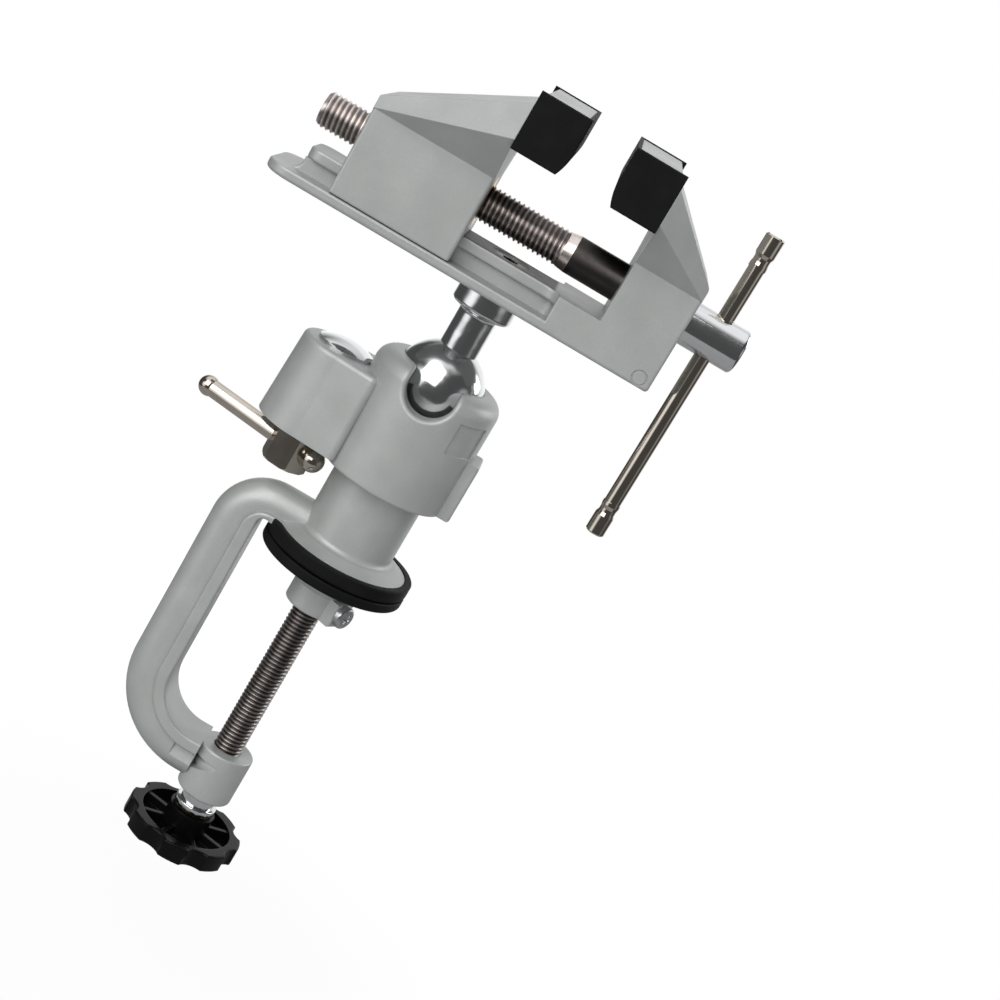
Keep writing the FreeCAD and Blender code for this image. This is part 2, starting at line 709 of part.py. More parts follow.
def socket_room():
    """The hollow for the ball, the liner, the piston and the spigot, about the post's axis."""
    ball_room = Part.makeSphere(SOCKET_RADIUS + RUNNING, vec(0, 0, BALL_Z))
    liner_room = Part.makeSphere(LINER_ROOM, vec(0, 0, BALL_Z))
    below = box(
        -LINER_ROOM, LINER_ROOM, -LINER_ROOM, LINER_ROOM, BALL_Z - LINER_ROOM, BALL_Z + SOCKET_TOP
    )
    return [
        ball_room,
        liner_room.common(below),
        rod_z(PISTON_RADIUS + RUNNING, CHAMBER_TOP - PAST, BALL_Z - BALL_RADIUS / 2),
        rod_z(CHAMBER_RADIUS, BEARING_TOP, CHAMBER_TOP),
        rod_z(SPIGOT_RADIUS + RUNNING, HOUSING_BASE - PAST, BEARING_TOP + PAST),
    ]


def notch():
    """The U-shaped notch that lets the stud's neck lean to the front down to level."""
    floor = BALL_Z - NOTCH_FLOOR
    centre = floor + NOTCH_HALF
    slot = Part.makeCylinder(
        NOTCH_HALF, HOUSING_RADIUS + PAST, vec(0, 0, centre), vec(0, -1, 0)
    )
    above = box(-NOTCH_HALF, NOTCH_HALF, -HOUSING_RADIUS - PAST, 0, centre, RIM_Z + PAST)
    return slot.fuse(above).removeSplitter()


def on_notch_lip(edge, middle):
    """Is this an edge between the notch and the outside of the barrel?"""
    inside = abs(middle.x) < NOTCH_HALF + 1e-3 and middle.y < 0
    outer = math.hypot(middle.x, middle.y) > HOUSING_RADIUS - RIM_SHOULDER
    return inside and outer and middle.z < RIM_Z - 1e-3


def ball_housing():
    barrel = turned(
        [
            (0, HOUSING_BASE),
            corner_arc((HOUSING_RADIUS, HOUSING_BASE), (1, 0), (0, 1), HOUSING_EDGE),
            corner_arc((HOUSING_RADIUS, RIM_Z), (0, 1), (-1, 0), RIM_SHOULDER),
            (0, RIM_Z),
        ]
    )
    ear = box(0, EAR_REACH, -EAR_WIDTH / 2, EAR_WIDTH / 2, EAR_BASE, EAR_TOP)
    ear = rounded(ear, EAR_EDGE, lambda edge, middle: near(middle.x, EAR_REACH))
    barrel = rounded(barrel.cut(notch()), NOTCH_LIP, on_notch_lip)
    casting = barrel.fuse([side_block(), ear]).removeSplitter()
    panel_floor = rod_z(HOUSING_RADIUS - PANEL_DEPTH, HOUSING_BASE, RIM_Z)
    panel = box(
        0, HOUSING_RADIUS + PAST, -PANEL_WIDTH / 2, PANEL_WIDTH / 2,
        PANEL_Z - PANEL_HEIGHT / 2, PANEL_Z + PANEL_HEIGHT / 2,
    ).cut(panel_floor)
    panel.rotate(vec(0, 0, 0), vec(0, 0, 1), PANEL_ANGLE)
    return casting.cut([panel] + socket_room() + side_bores())


def ball_liner():
    """A thin cup under the ball. It stays with the ball when the ball tilts sideways."""
    outer = Part.makeSphere(LINER_OUTER, vec(0, 0, BALL_Z))
    inner = Part.makeSphere(SOCKET_RADIUS, vec(0, 0, BALL_Z))
    top = BALL_Z + LINER_OUTER * math.sin(math.radians(LINER_TOP))
    keep = box(-LINER_OUTER, LINER_OUTER, -LINER_OUTER, LINER_OUTER, BALL_Z - LINER_OUTER, top)
    return outer.cut(inner).common(keep)


def seat_piston():
    """The disc that the plunger wedges up against the liner."""
    top = BALL_Z - BALL_RADIUS / 2 - GAP
    body = rod_z(PISTON_RADIUS, PISTON_BOTTOM, top)
    return body.cut(Part.makeSphere(LINER_OUTER + RUNNING, vec(0, 0, BALL_Z)))


def plunger_shape(grow):
    """A round pin along X with a cone at each end, larger all round by the given play."""
    radius = PLUNGER_RADIUS + grow
    outer_end = SIDE_X + BOLT_RADIUS + GAP - grow
    body_start = outer_end + PLUNGER_CONE
    body = rod_x(radius, body_start, PLUNGER_INNER_END - PLUNGER_CONE, PLUNGER_Z)
    outer_cone = Part.makeCone(
        radius - PLUNGER_CONE, radius, PLUNGER_CONE, vec(outer_end, 0, PLUNGER_Z), vec(1, 0, 0)
    )
    inner_cone = Part.makeCone(
        radius,
        radius - PLUNGER_CONE,
        PLUNGER_CONE,
        vec(PLUNGER_INNER_END - PLUNGER_CONE, 0, PLUNGER_Z),
        vec(1, 0, 0),
    )
    return body.fuse([outer_cone, inner_cone]).removeSplitter()


def cotter(z0, z1):
    """A sleeve on the clamp bolt, with a slanted nick where the plunger's cone bears."""
    sleeve = rod_z(SIDE_BORE_RADIUS - RUNNING, z0, z1, SIDE_X)
    sleeve = sleeve.cut(rod_z(BOLT_RADIUS + RUNNING, z0 - PAST, z1 + PAST, SIDE_X))
    return sleeve.cut(plunger_shape(RUNNING))


def clamp_bolt():
    """The bolt with its domed head; the lever's hub turns on its lower, threaded end."""
    dome_z = BOLT_FACE + CAP_BAND
    head = turned(
        [
            (0, BOLT_FACE),
            (CAP_RADIUS, BOLT_FACE),
            dome_arc(CAP_RADIUS, dome_z, CAP_DOME),
        ]
    )
    head.translate(vec(SIDE_X, 0, 0))
    low = SIDE_BASE - GAP - HUB_HEIGHT + HUB_EDGE
    return head.fuse(rod_z(BOLT_RADIUS, low, BOLT_FACE, SIDE_X)).removeSplitter()


def along_lever(shape):
    """A shape modelled along -X from the bolt's axis, turned and lowered to the lever's place."""
    shape.rotate(vec(0, 0, 0), vec(0, 0, 1), LEVER_ANGLE)
    shape.translate(vec(SIDE_X, 0, LEVER_Z))
    return shape


def lever_hub_blank():
    top = SIDE_BASE - GAP - LEVER_Z
    points = []
    for side in range(7):
        angle = math.radians(HUB_TURN + 60 * side)
        points.append(vec(HUB_CORNER * math.cos(angle), HUB_CORNER * math.sin(angle), top))
    prism = Part.Face(Part.makePolygon(points)).extrude(vec(0, 0, -HUB_HEIGHT))
    round_off = rod_z(HUB_CORNER, top - HUB_HEIGHT, top)
    low = top - HUB_HEIGHT
    round_off = round_off.makeChamfer(
        HUB_EDGE, [e for e in round_off.Edges if is_round(e) and near(e.valueAt(0).z, low)]
    )
    return prism.common(round_off)


def lever_hub():
    hub = lever_hub_blank()
    hub = hub.cut(rod_x(LEVER_RADIUS + SEATED, -HUB_CORNER - PAST, -BOLT_RADIUS - GAP, 0))
    hub = hub.cut(rod_x(LEVER_RADIUS + SEATED, BOLT_RADIUS + GAP, HUB_CORNER + PAST, 0))
    low = SIDE_BASE - GAP - LEVER_Z - HUB_HEIGHT
    hub = hub.cut(rod_z(BOLT_RADIUS + RUNNING, low + HUB_EDGE - GAP, -low + HUB_HEIGHT))
    return along_lever(hub)


def lever_bar():
    joint = LEVER_LENGTH - math.sqrt(LEVER_BALL ** 2 - LEVER_RADIUS ** 2)
    ball = ((LEVER_RADIUS, joint), (LEVER_BALL, LEVER_LENGTH), (0, LEVER_LENGTH + LEVER_BALL))
    start = BOLT_RADIUS + GAP
    bar = turned([(0, start), (LEVER_RADIUS, start), ball])
    bar.rotate(vec(0, 0, 0), vec(0, 1, 0), -90)
    return along_lever(bar)


def lever_cap():
    stem = rod_x(LEVER_RADIUS, BOLT_RADIUS + GAP, LEVER_CAP_REACH, 0)
    dome = Part.makeSphere(LEVER_CAP, vec(LEVER_CAP_REACH, 0, 0)).cut(lever_hub_blank())
    return along_lever(stem.fuse(dome).removeSplitter())


def ball_stud():
    neck_top = SLAB_BOTTOM - STUD_COLLAR_HEIGHT
    shoulder = (STUD_COLLAR_RADIUS, neck_top)
    shaft = turned(
        [
            (0, BALL_Z),
            (NECK_RADIUS, BALL_Z),
            (NECK_RADIUS, neck_top - NECK_BLEND),
            (
                (NECK_RADIUS, neck_top - NECK_BLEND),
                (
                    NECK_RADIUS + NECK_BLEND * (1 - math.sqrt(0.5)),
                    neck_top - NECK_BLEND * (1 - math.sqrt(0.5)),
                ),
                (NECK_RADIUS + NECK_BLEND, neck_top),
            ),
            corner_arc(shoulder, (1, 0), (0, 1), STUD_COLLAR_EDGE),
            (STUD_COLLAR_RADIUS, SLAB_BOTTOM),
            (STUD_PILOT_RADIUS, SLAB_BOTTOM),
            (STUD_PILOT_RADIUS, SLAB_BOTTOM + STUD_PILOT_HEIGHT),
            (0, SLAB_BOTTOM + STUD_PILOT_HEIGHT),
        ]
    )
    stud = Part.makeSphere(BALL_RADIUS, vec(0, 0, BALL_Z)).fuse(shaft).removeSplitter()
    bottom = RAIL_TOP - STUD_BOLT_SINK - STUD_BOLT_LENGTH - GAP
    return stud.cut(rod_z(STUD_BOLT_RADIUS + RUNNING, bottom, SLAB_TOP))


# ---- vise head --------------------------------------------------------------------------------
def jaw_head(inner, outer, roof_edge):
    """The jaw's flared head: a sloped roof and two wings that widen towards the gripping side."""
    narrow = BASE_WIDTH / 2
    wide = JAW_WIDTH / 2
    back = -abs(outer - inner)
    back_foot = [vec(back, side * narrow, SHOULDER_Z) for side in (-1, 1)]
    eave = [vec(back, side * narrow, ROOF_LOW) for side in (-1, 1)]
    foot = [vec(0, side * narrow, SHOULDER_Z) for side in (-1, 1)]
    wing = [vec(0, side * wide, WING_LOW) for side in (-1, 1)]
    ridge = [vec(0, side * wide, ROOF_HIGH) for side in (-1, 1)]
    faces = [
        [back_foot[0], back_foot[1], foot[1], foot[0]],
        [back_foot[0], back_foot[1], eave[1], eave[0]],
        [eave[0], eave[1], ridge[1], ridge[0]],
        [foot[0], foot[1], wing[1], ridge[1], ridge[0], wing[0]],
    ]
    for side in (0, 1):
        faces.append([back_foot[side], eave[side], ridge[side], wing[side]])
        faces.append([back_foot[side], wing[side], foot[side]])
    head = rounded(
        polygon_solid(faces),
        roof_edge,
        lambda edge, middle: near(middle.x, back) and near(middle.z, ROOF_LOW),
    )
    if outer > inner:
        head.rotate(vec(0, 0, 0), vec(0, 0, 1), 180)
    head.translate(vec(inner, 0, 0))
    return head


def nose_block(inner, face, half, bottom, top, arc):
    """A straight nose along X whose gripping side leans back in an arc towards its bottom edge."""
    outward = math.copysign(1, face - inner)
    centre = face - outward * arc

    def on_arc(z):
        return vec(centre + outward * math.sqrt(arc ** 2 - (TIP_ARC_TOP - z) ** 2), -half, z)

    low = on_arc(bottom)
    high = on_arc(TIP_ARC_TOP)
    points = [vec(face, -half, top), vec(inner, -half, top), vec(inner, -half, bottom), low]
    edges = [
        Part.Arc(low, on_arc((bottom + TIP_ARC_TOP) / 2), high).toShape(),
        Part.LineSegment(high, points[0]).toShape(),
    ]
    for start, end in zip(points, points[1:]):
        edges.append(Part.LineSegment(start, end).toShape())
    return Part.Face(Part.Wire(edges)).extrude(vec(0, 2 * half, 0))


def jaw_tip(inner, tip):
    """The straight metal nose that carries the rubber boot."""
    half = JAW_WIDTH / 2 - BOOT_WALL
    nose = nose_block(inner, tip, half, TIP_BOTTOM, TIP_TOP, TIP_ARC)
    back = inner + math.copysign(BOOT_BACK, tip - inner)
    low, high = min(inner, back), max(inner, back)
    return nose.cut(box(low, high, -half, half, ROOF_HIGH, TIP_TOP))


def jaw_boot(inner, tip):
    """The rubber boot: a cup open at the top and towards the jaw, on the metal nose."""
    half = JAW_WIDTH / 2
    outward = math.copysign(1, tip - inner)
    face = tip + outward * BOOT_NOSE
    base = inner + outward * SEATED
    shell = nose_block(
        base, face, half, TIP_BOTTOM - BOOT_WALL, TIP_TOP + BOOT_STAND, TIP_ARC + BOOT_NOSE
    )
    shell = rounded(
        shell,
        BOOT_EDGE,
        lambda edge, middle: near(abs(middle.y), half) and not near(middle.x, base),
    )
    core = nose_block(
        inner - outward,
        tip + outward * SEATED,
        half - BOOT_WALL + SEATED,
        TIP_BOTTOM - SEATED,
        TIP_TOP + PAST,
        TIP_ARC + SEATED,
    )
    return shell.cut(core)


def rail_profile(grow):
    """The T-rail's cross-section as two slabs, larger all round by the given play."""
    web_half = RAIL_WEB_WIDTH / 2 + grow
    top_half = RAIL_WIDTH / 2 + grow
    return [
        (-web_half, web_half, SLAB_TOP, RAIL_NECK_Z + grow),
        (-top_half, top_half, RAIL_NECK_Z - grow, RAIL_TOP + grow),
    ]


def led_into_step(rail, half, blend, z0, z1):
    """A rail's slab with a hollow fillet on each side where it meets the step."""
    reach = half + blend + STEP_EDGE
    root = box(STEP_LEFT, FIXED_INNER, -reach, reach, z0, z1)
    return rounded(
        rail.fuse(root).removeSplitter(),
        blend,
        lambda edge, middle: near(middle.x, STEP_LEFT) and near(abs(middle.y), half),
    )


def rail_web():
    """The rail's neck, with a hollow foot at its free end."""
    half = RAIL_WEB_WIDTH / 2
    foot = SLAB_TOP + RAIL_FOOT
    bend = RAIL_FOOT * (1 - math.sqrt(0.5))
    points = [
        vec(RAIL_LEFT - RAIL_FOOT, -half, SLAB_TOP),
        vec(RAIL_LEFT - bend, -half, SLAB_TOP + bend),
        vec(RAIL_LEFT, -half, foot),
        vec(RAIL_LEFT, -half, RAIL_NECK_Z),
        vec(FIXED_INNER, -half, RAIL_NECK_Z),
        vec(FIXED_INNER, -half, SLAB_TOP),
    ]
    edges = [Part.Arc(points[0], points[1], points[2]).toShape()]
    for start, end in zip(points[2:], points[3:] + points[:1]):
        edges.append(Part.LineSegment(start, end).toShape())
    web = Part.Face(Part.Wire(edges)).extrude(vec(0, RAIL_WEB_WIDTH, 0))
    web = rounded(
        web,
        RAIL_EDGE,
        lambda edge, middle: near(abs(middle.y), half) and middle.x < RAIL_LEFT + RAIL_EDGE,
    )
    return led_into_step(web, half, STEP_WEB_BLEND, SLAB_TOP, RAIL_NECK_Z)


def rail_head():
    """The rail's broad top, round at its free end."""
    half = RAIL_WIDTH / 2
    head = rounded(
        box(RAIL_LEFT, FIXED_INNER, -half, half, RAIL_NECK_Z, RAIL_TOP),
        RAIL_END_RADIUS,
        lambda edge, middle: near(middle.x, RAIL_LEFT) and near(abs(middle.y), half),
    )
    head = led_into_step(head, half, STEP_BLEND, RAIL_NECK_Z, RAIL_TOP)
    return rounded(
        head,
        RAIL_EDGE,
        lambda edge, middle: middle.x < STEP_LEFT - STEP_BLEND
        and (near(middle.z, RAIL_TOP) or near(middle.z, RAIL_NECK_Z)),
    )


def base_slab():
    """The slab and the step at its end, with their corners and long edges rounded."""
    half = BASE_WIDTH / 2
    slab = box(SLAB_LEFT, FIXED_OUTER, -half, half, SLAB_BOTTOM, SLAB_TOP)
    slab = rounded(
        slab,
        SLAB_END_RADIUS,
        lambda edge, middle: near(middle.x, SLAB_LEFT) and near(abs(middle.y), half),
    )
    step = box(STEP_LEFT, FIXED_OUTER, -half, half, SLAB_TOP, RAIL_TOP)
    slab = slab.fuse(step).removeSplitter()
    slab = rounded(
        slab,
        STEP_EDGE,
        lambda edge, middle: near(middle.x, STEP_LEFT) and near(abs(middle.y), half),
    )
    slab = rounded(
        slab,
        SLAB_LOW_EDGE,
        lambda edge, middle: near(middle.z, SLAB_BOTTOM) and not near(middle.x, FIXED_OUTER),
    )
    return rounded(
        slab,
        SLAB_TOP_EDGE,
        lambda edge, middle: near(middle.z, SLAB_TOP) and middle.x < STEP_LEFT - 1,
    )


def ejector_mark():
    """The shallow ring that an ejector pin leaves on the slab's front."""
    start = vec(MARK_X, -BASE_WIDTH / 2 - PAST, SLAB_BOTTOM + MARK_RISE)
    depth = MARK_DEPTH + PAST
    outer = Part.makeCylinder(MARK_RADIUS, depth, start, vec(0, 1, 0))
    return outer.cut(Part.makeCylinder(MARK_RADIUS - MARK_WIDTH, depth, start, vec(0, 1, 0)))


def vise_base():
    half = BASE_WIDTH / 2
    upright = box(FIXED_INNER, FIXED_OUTER, -half, half, RAIL_TOP - STEP_EDGE, SHOULDER_Z)
    head = jaw_head(FIXED_INNER, FIXED_OUTER, FIXED_ROOF_EDGE)
    casting = base_slab().fuse([rail_web(), rail_head(), upright, head]).removeSplitter()
    casting = soften_jaw(casting, FIXED_OUTER)
    casting = casting.fuse(jaw_tip(FIXED_INNER, FIXED_TIP)).removeSplitter()
    lead_bore = rod_x(LEAD_SHANK_RADIUS + RUNNING, STEP_LEFT, FIXED_OUTER + PAST, LEAD_Z)
    pin_bore = rod_z(PIN_RADIUS + SEATED, SLAB_BOTTOM - PAST, LEAD_Z + PIN_RADIUS, PIN_X, pin_y())
    pilot = rod_z(STUD_PILOT_RADIUS + SEATED, SLAB_BOTTOM - PAST, SLAB_BOTTOM + STUD_PILOT_HEIGHT + GAP)
    bolt_bore = rod_z(STUD_BOLT_RADIUS + RUNNING, SLAB_BOTTOM, RAIL_TOP + PAST)
    return casting.cut([lead_bore, pin_bore, pilot, bolt_bore, countersink(SEATED), ejector_mark()])


def soften_jaw(casting, outer):
    """Round a jaw's outer upright corners up to the foot of its wings."""
    half = BASE_WIDTH / 2
    return rounded(
        casting,
        JAW_EDGE,
        lambda edge, middle: is_straight(edge) and near(middle.x, outer)
        and near(abs(middle.y), half) and SLAB_TOP + JAW_EDGE < middle.z < SHOULDER_Z - JAW_EDGE,
    )


def countersink(play):
    """The cone and mouth of the stud bolt's countersunk head."""
    top = RAIL_TOP - STUD_BOLT_SINK
    depth = STUD_BOLT_HEAD - STUD_BOLT_RADIUS
    cone = Part.makeCone(STUD_BOLT_RADIUS + play, STUD_BOLT_HEAD + play, depth, vec(0, 0, top - depth))
    return cone.fuse(rod_z(STUD_BOLT_HEAD + play, top, RAIL_TOP + play))


def stud_bolt():
    top = RAIL_TOP - STUD_BOLT_SINK
    depth = STUD_BOLT_HEAD - STUD_BOLT_RADIUS
    cone = Part.makeCone(STUD_BOLT_RADIUS, STUD_BOLT_HEAD, depth, vec(0, 0, top - depth))
    shank = rod_z(STUD_BOLT_RADIUS, top - STUD_BOLT_LENGTH, top - depth)
    return cone.fuse(shank).removeSplitter()


def pin_y():
    return PIN_GROOVE_RADIUS + PIN_RADIUS + RUNNING


def screw_pin():
    """The dowel that runs in the lead screw's groove and keeps it from sliding out."""
    return rod_z(PIN_RADIUS, LEAD_Z - PIN_DROP, LEAD_Z + PIN_RADIUS, PIN_X, pin_y())


def movable_jaw():
    half = BASE_WIDTH / 2
    block = box(MOVING_OUTER, MOVING_INNER, -half, half, MOVING_BOTTOM, SHOULDER_Z)
    block = rounded(
        block,
        JAW_EDGE,
        lambda edge, middle: near(middle.x, MOVING_INNER) and near(abs(middle.y), half),
    )
    head = jaw_head(MOVING_INNER, MOVING_OUTER, MOVING_ROOF_EDGE)
    casting = block.fuse(head).removeSplitter()
    casting = soften_jaw(casting, MOVING_OUTER)
    casting = rounded(
        casting,
        JAW_LOW_EDGE,
        lambda edge, middle: near(middle.z, MOVING_BOTTOM) and abs(middle.y) > 1,
    )
    casting = casting.fuse(jaw_tip(MOVING_INNER, MOVING_TIP)).removeSplitter()
    channel = [
        box(MOVING_OUTER - PAST, MOVING_INNER + PAST, y0, y1, z0, z1)
        for y0, y1, z0, z1 in rail_profile(SLIDING)
    ]
    free_bore = rod_x(LEAD_RADIUS + LEAD_BORE_PLAY, MOVING_OUTER - PAST, MOVING_INNER + PAST, LEAD_Z)
    nut_seat = rod_x(NUT_RADIUS + SEATED, MOVING_INNER - NUT_LENGTH, MOVING_INNER + PAST, LEAD_Z)
    return casting.cut(channel + [free_bore, nut_seat])


def jaw_nut():
    left = MOVING_INNER - NUT_LENGTH
    nut = rod_x(NUT_RADIUS, left, MOVING_INNER, LEAD_Z)
    return nut.cut(rod_x(LEAD_RADIUS + RUNNING, left - PAST, MOVING_INNER + PAST, LEAD_Z))


def lead_screw():
    end = LEAD_HEAD_FACE + LEAD_HEAD_LENGTH
    screw = turned(
        [
            (0, LEAD_LEFT),
            (LEAD_RADIUS - LEAD_CHAMFER, LEAD_LEFT),
            (LEAD_RADIUS, LEAD_LEFT + LEAD_CHAMFER),
            (LEAD_RADIUS, LEAD_THREAD_END),
            (LEAD_SHANK_RADIUS, LEAD_THREAD_END + LEAD_TAPER),
            (LEAD_SHANK_RADIUS, LEAD_HEAD_FACE),
            (LEAD_HEAD_RADIUS, LEAD_HEAD_FACE),
            corner_arc((LEAD_HEAD_RADIUS, end), (0, 1), (-1, 0), LEAD_HEAD_EDGE),
            (0, end),
        ]
    )
    screw.rotate(vec(0, 0, 0), vec(0, 1, 0), 90)
    screw.translate(vec(0, 0, LEAD_Z))
    reach = PIN_RADIUS + RUNNING
    groove = rod_x(LEAD_HEAD_RADIUS, PIN_X - reach, PIN_X + reach, LEAD_Z).cut(
        rod_x(PIN_GROOVE_RADIUS, PIN_X - reach, PIN_X + reach, LEAD_Z)
    )
    cross = rod_z(
        TOMMY_RADIUS + RUNNING, LEAD_Z - LEAD_HEAD_RADIUS - PAST, LEAD_Z + LEAD_HEAD_RADIUS + PAST, TOMMY_X
    )
    return screw.cut([groove, cross])


def tommy_span():
    return LEAD_Z - TOMMY_BELOW, LEAD_Z + TOMMY_ABOVE


def tommy_bar():
    low, high = tommy_span()
    return rod_z(
        TOMMY_RADIUS - TOMMY_CRIMP, low + TOMMY_CRIMP, high - TOMMY_CRIMP, TOMMY_X
    ).fuse(
        rod_z(TOMMY_RADIUS, low + TOMMY_END_LENGTH, high - TOMMY_END_LENGTH, TOMMY_X)
    ).removeSplitter()


def tommy_end(end_z, inward):
    """A crimped sleeve on one end of the tommy bar."""
    tail = TOMMY_CRIMP * 5
    length = TOMMY_END_LENGTH
    bore = TOMMY_RADIUS - TOMMY_CRIMP + SEATED
    waist = TOMMY_END_RADIUS - TOMMY_CRIMP
    shape = turned(
        [
            (0, 0),
            (waist, 0),
            (TOMMY_END_RADIUS, TOMMY_CRIMP),
            (TOMMY_END_RADIUS, length - 2 * tail),
            (waist, length - 1.5 * tail),
            (waist, length - tail),
            (TOMMY_END_RADIUS - TOMMY_CRIMP / 2, length - tail / 2),
            (TOMMY_END_RADIUS - TOMMY_CRIMP / 2, length),
            (bore, length),
            (bore, TOMMY_CRIMP),
            (0, TOMMY_CRIMP),
        ]
    )
    if inward < 0:
        shape = shape.mirror(vec(0, 0, 0), vec(0, 0, 1))
    shape.translate(vec(TOMMY_X, 0, end_z))
    return shape


def build():
    low, high = tommy_span()
    side_low = SIDE_BASE + SIDE_FLOOR + GAP
    return {
        "clamp_frame": clamp_frame(),
        "table_pad": table_pad(),
        "post_circlip": post_circlip(),
        "pressure_plate": pressure_plate(),
        "pressure_pad": pressure_pad(),
        "plate_screw": plate_screw(),
        "clamp_screw": clamp_screw(),
        "screw_collar": screw_collar(),
        "knob": knob(),
        "knob_insert": knob_insert(),
        "ball_housing": ball_housing(),
        "ball_liner": ball_liner(),
        "seat_piston": seat_piston(),
        "clamp_plunger": plunger_shape(0),
        "cotter_upper": cotter(PLUNGER_Z + COTTER_SPLIT / 2, COTTER_TOP),
        "cotter_lower": cotter(side_low, PLUNGER_Z - COTTER_SPLIT / 2),
        "clamp_bolt": clamp_bolt(),
        "lever_hub": lever_hub(),
        "lever_bar": lever_bar(),
        "lever_cap": lever_cap(),
        "ball_stud": ball_stud(),
        "vise_base": vise_base(),
        "stud_bolt": stud_bolt(),
        "screw_pin": screw_pin(),
        "jaw_boot_fixed": jaw_boot(FIXED_INNER, FIXED_TIP),
        "movable_jaw": movable_jaw(),
        "jaw_boot_movable": jaw_boot(MOVING_INNER, MOVING_TIP),
        "jaw_nut": jaw_nut(),
        "lead_screw": lead_screw(),
        "tommy_bar": tommy_bar(),
        "tommy_end_lower": tommy_end(low, 1),
        "tommy_end_upper": tommy_end(high, -1),
    }


os.makedirs("parts", exist_ok=True)
for name, shape in build().items():
    save(name, shape)
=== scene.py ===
import math

import bpy
import numpy as np
from bpy.props import FloatProperty, FloatVectorProperty, IntProperty, PointerProperty
from mathutils import Matrix, Vector


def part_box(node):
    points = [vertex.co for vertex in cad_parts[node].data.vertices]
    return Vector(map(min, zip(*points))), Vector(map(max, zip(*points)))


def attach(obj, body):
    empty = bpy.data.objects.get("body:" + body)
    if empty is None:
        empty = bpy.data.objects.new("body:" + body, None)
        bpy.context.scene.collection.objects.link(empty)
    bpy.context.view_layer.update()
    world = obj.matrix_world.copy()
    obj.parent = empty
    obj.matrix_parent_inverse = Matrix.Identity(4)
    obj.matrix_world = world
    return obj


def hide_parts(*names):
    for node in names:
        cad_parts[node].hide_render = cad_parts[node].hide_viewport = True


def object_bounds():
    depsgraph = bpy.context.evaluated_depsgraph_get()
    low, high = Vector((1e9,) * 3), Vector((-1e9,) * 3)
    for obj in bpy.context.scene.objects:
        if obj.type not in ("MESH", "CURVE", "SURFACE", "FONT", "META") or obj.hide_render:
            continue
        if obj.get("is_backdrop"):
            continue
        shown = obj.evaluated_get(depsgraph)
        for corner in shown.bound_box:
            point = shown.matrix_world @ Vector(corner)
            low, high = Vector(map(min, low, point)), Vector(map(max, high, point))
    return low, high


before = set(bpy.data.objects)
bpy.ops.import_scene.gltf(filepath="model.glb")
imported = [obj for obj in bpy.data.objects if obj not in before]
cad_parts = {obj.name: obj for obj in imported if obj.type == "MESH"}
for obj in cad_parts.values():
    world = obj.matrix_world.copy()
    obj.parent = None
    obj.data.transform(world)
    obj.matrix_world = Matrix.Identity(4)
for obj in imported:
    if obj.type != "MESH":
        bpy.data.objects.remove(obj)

bl_info = {
    "name": "Clamp-On Ball Vise",
    "version": (1, 0, 0),
    "blender": (4, 5, 0),
    "location": "View3D > Sidebar > Ball Vise",
    "description": "Threads, fasteners and finishes for a bench vise on a ball joint with a table clamp",
    "category": "Add Mesh",
}

MM = 0.001
TURN = 2 * math.pi
OIL_AND_SHADE = (0.022, 0.019, 0.016)  # a dirty film of oil, darkened further as painted shade where the lead screw and the jaws shade the rail, in linear light
WHITE = (1, 1, 1, 1)
ORIGIN = (0, 0, 0)
X_AXIS = (1, 0, 0)
Y_AXIS = (0, 1, 0)
Z_AXIS = (0, 0, 1)


# ---- sizes and colours a user may change -------------------------------------------------------
def length(name, description, default, low=0.0):
    """A length property in metres."""
    return FloatProperty(
        name=name, description=description, default=default, min=low, subtype="DISTANCE", unit="LENGTH"
    )


def colour(name, description, default):
    """A colour property in linear light."""
    return FloatVectorProperty(
        name=name, description=description, default=default, size=3, min=0.0, max=1.0, subtype="COLOR"
    )


class BallViseThreads(bpy.types.PropertyGroup):
    """Sizes of the two screws and of the stop collar."""

    lead_pitch: length("Lead screw pitch", "Travel of the jaw for one turn", 1.75 * MM)
    lead_depth: length("Lead thread depth", "Crest to root of the lead screw's thread", 0.7 * MM)
    lead_radius: length("Lead thread radius", "Axis to the crests of the lead screw's thread", 6.0 * MM)
    lead_end: length("Lead thread's end", "Where the lead thread runs out, along X", 13.0 * MM, -1.0)
    lead_taper: length("Lead taper", "Length of the cone from the thread up to the smooth shank", 3.0 * MM)
    shank_radius: length("Shank radius", "Axis to the smooth shank in the fixed jaw", 6.4 * MM)
    head_length: length("Head length", "Length of the head that the tommy bar crosses", 20.2 * MM)
    head_edge: length("Head edge", "Rounding of the head's outer rim", 1.4 * MM)
    hole_edge: length("Hole edge", "Width of the sunk rim round the tommy bar's hole", 0.7 * MM)
    end_chamfer: length("End chamfer", "Chamfer on a screw's free end", 1.0 * MM)
    clamp_pitch: length("Clamp screw pitch", "Travel of the clamp for one turn", 1.5 * MM)
    clamp_depth: length("Clamp thread depth", "Crest to root of the clamp screw's thread", 0.6 * MM)
    groove_radius: length("Groove radius", "Axis to the groove for the plate screw's tip", 3.7 * MM)
    groove_width: length("Groove width", "Width of that groove", 4.4 * MM)
    tip_gap: length("Tip gap", "Gap between that groove and the plate screw's tip", 0.3 * MM)
    stop_flange: length("Stop flange", "Height of the stop collar's flange on the knob", 2.4 * MM)
    stop_neck: length("Stop neck", "Axis to the stop collar's turned neck", 6.0 * MM)
    stop_edge: length("Stop edge", "Rounding of the stop collar's flange", 0.5 * MM)
    rows_per_turn: IntProperty(
        name="Rows per turn", description="Mesh rows along one pitch", default=14, min=8, max=32
    )
    segments: IntProperty(
        name="Segments", description="Mesh columns round a screw", default=72, min=24, max=160
    )


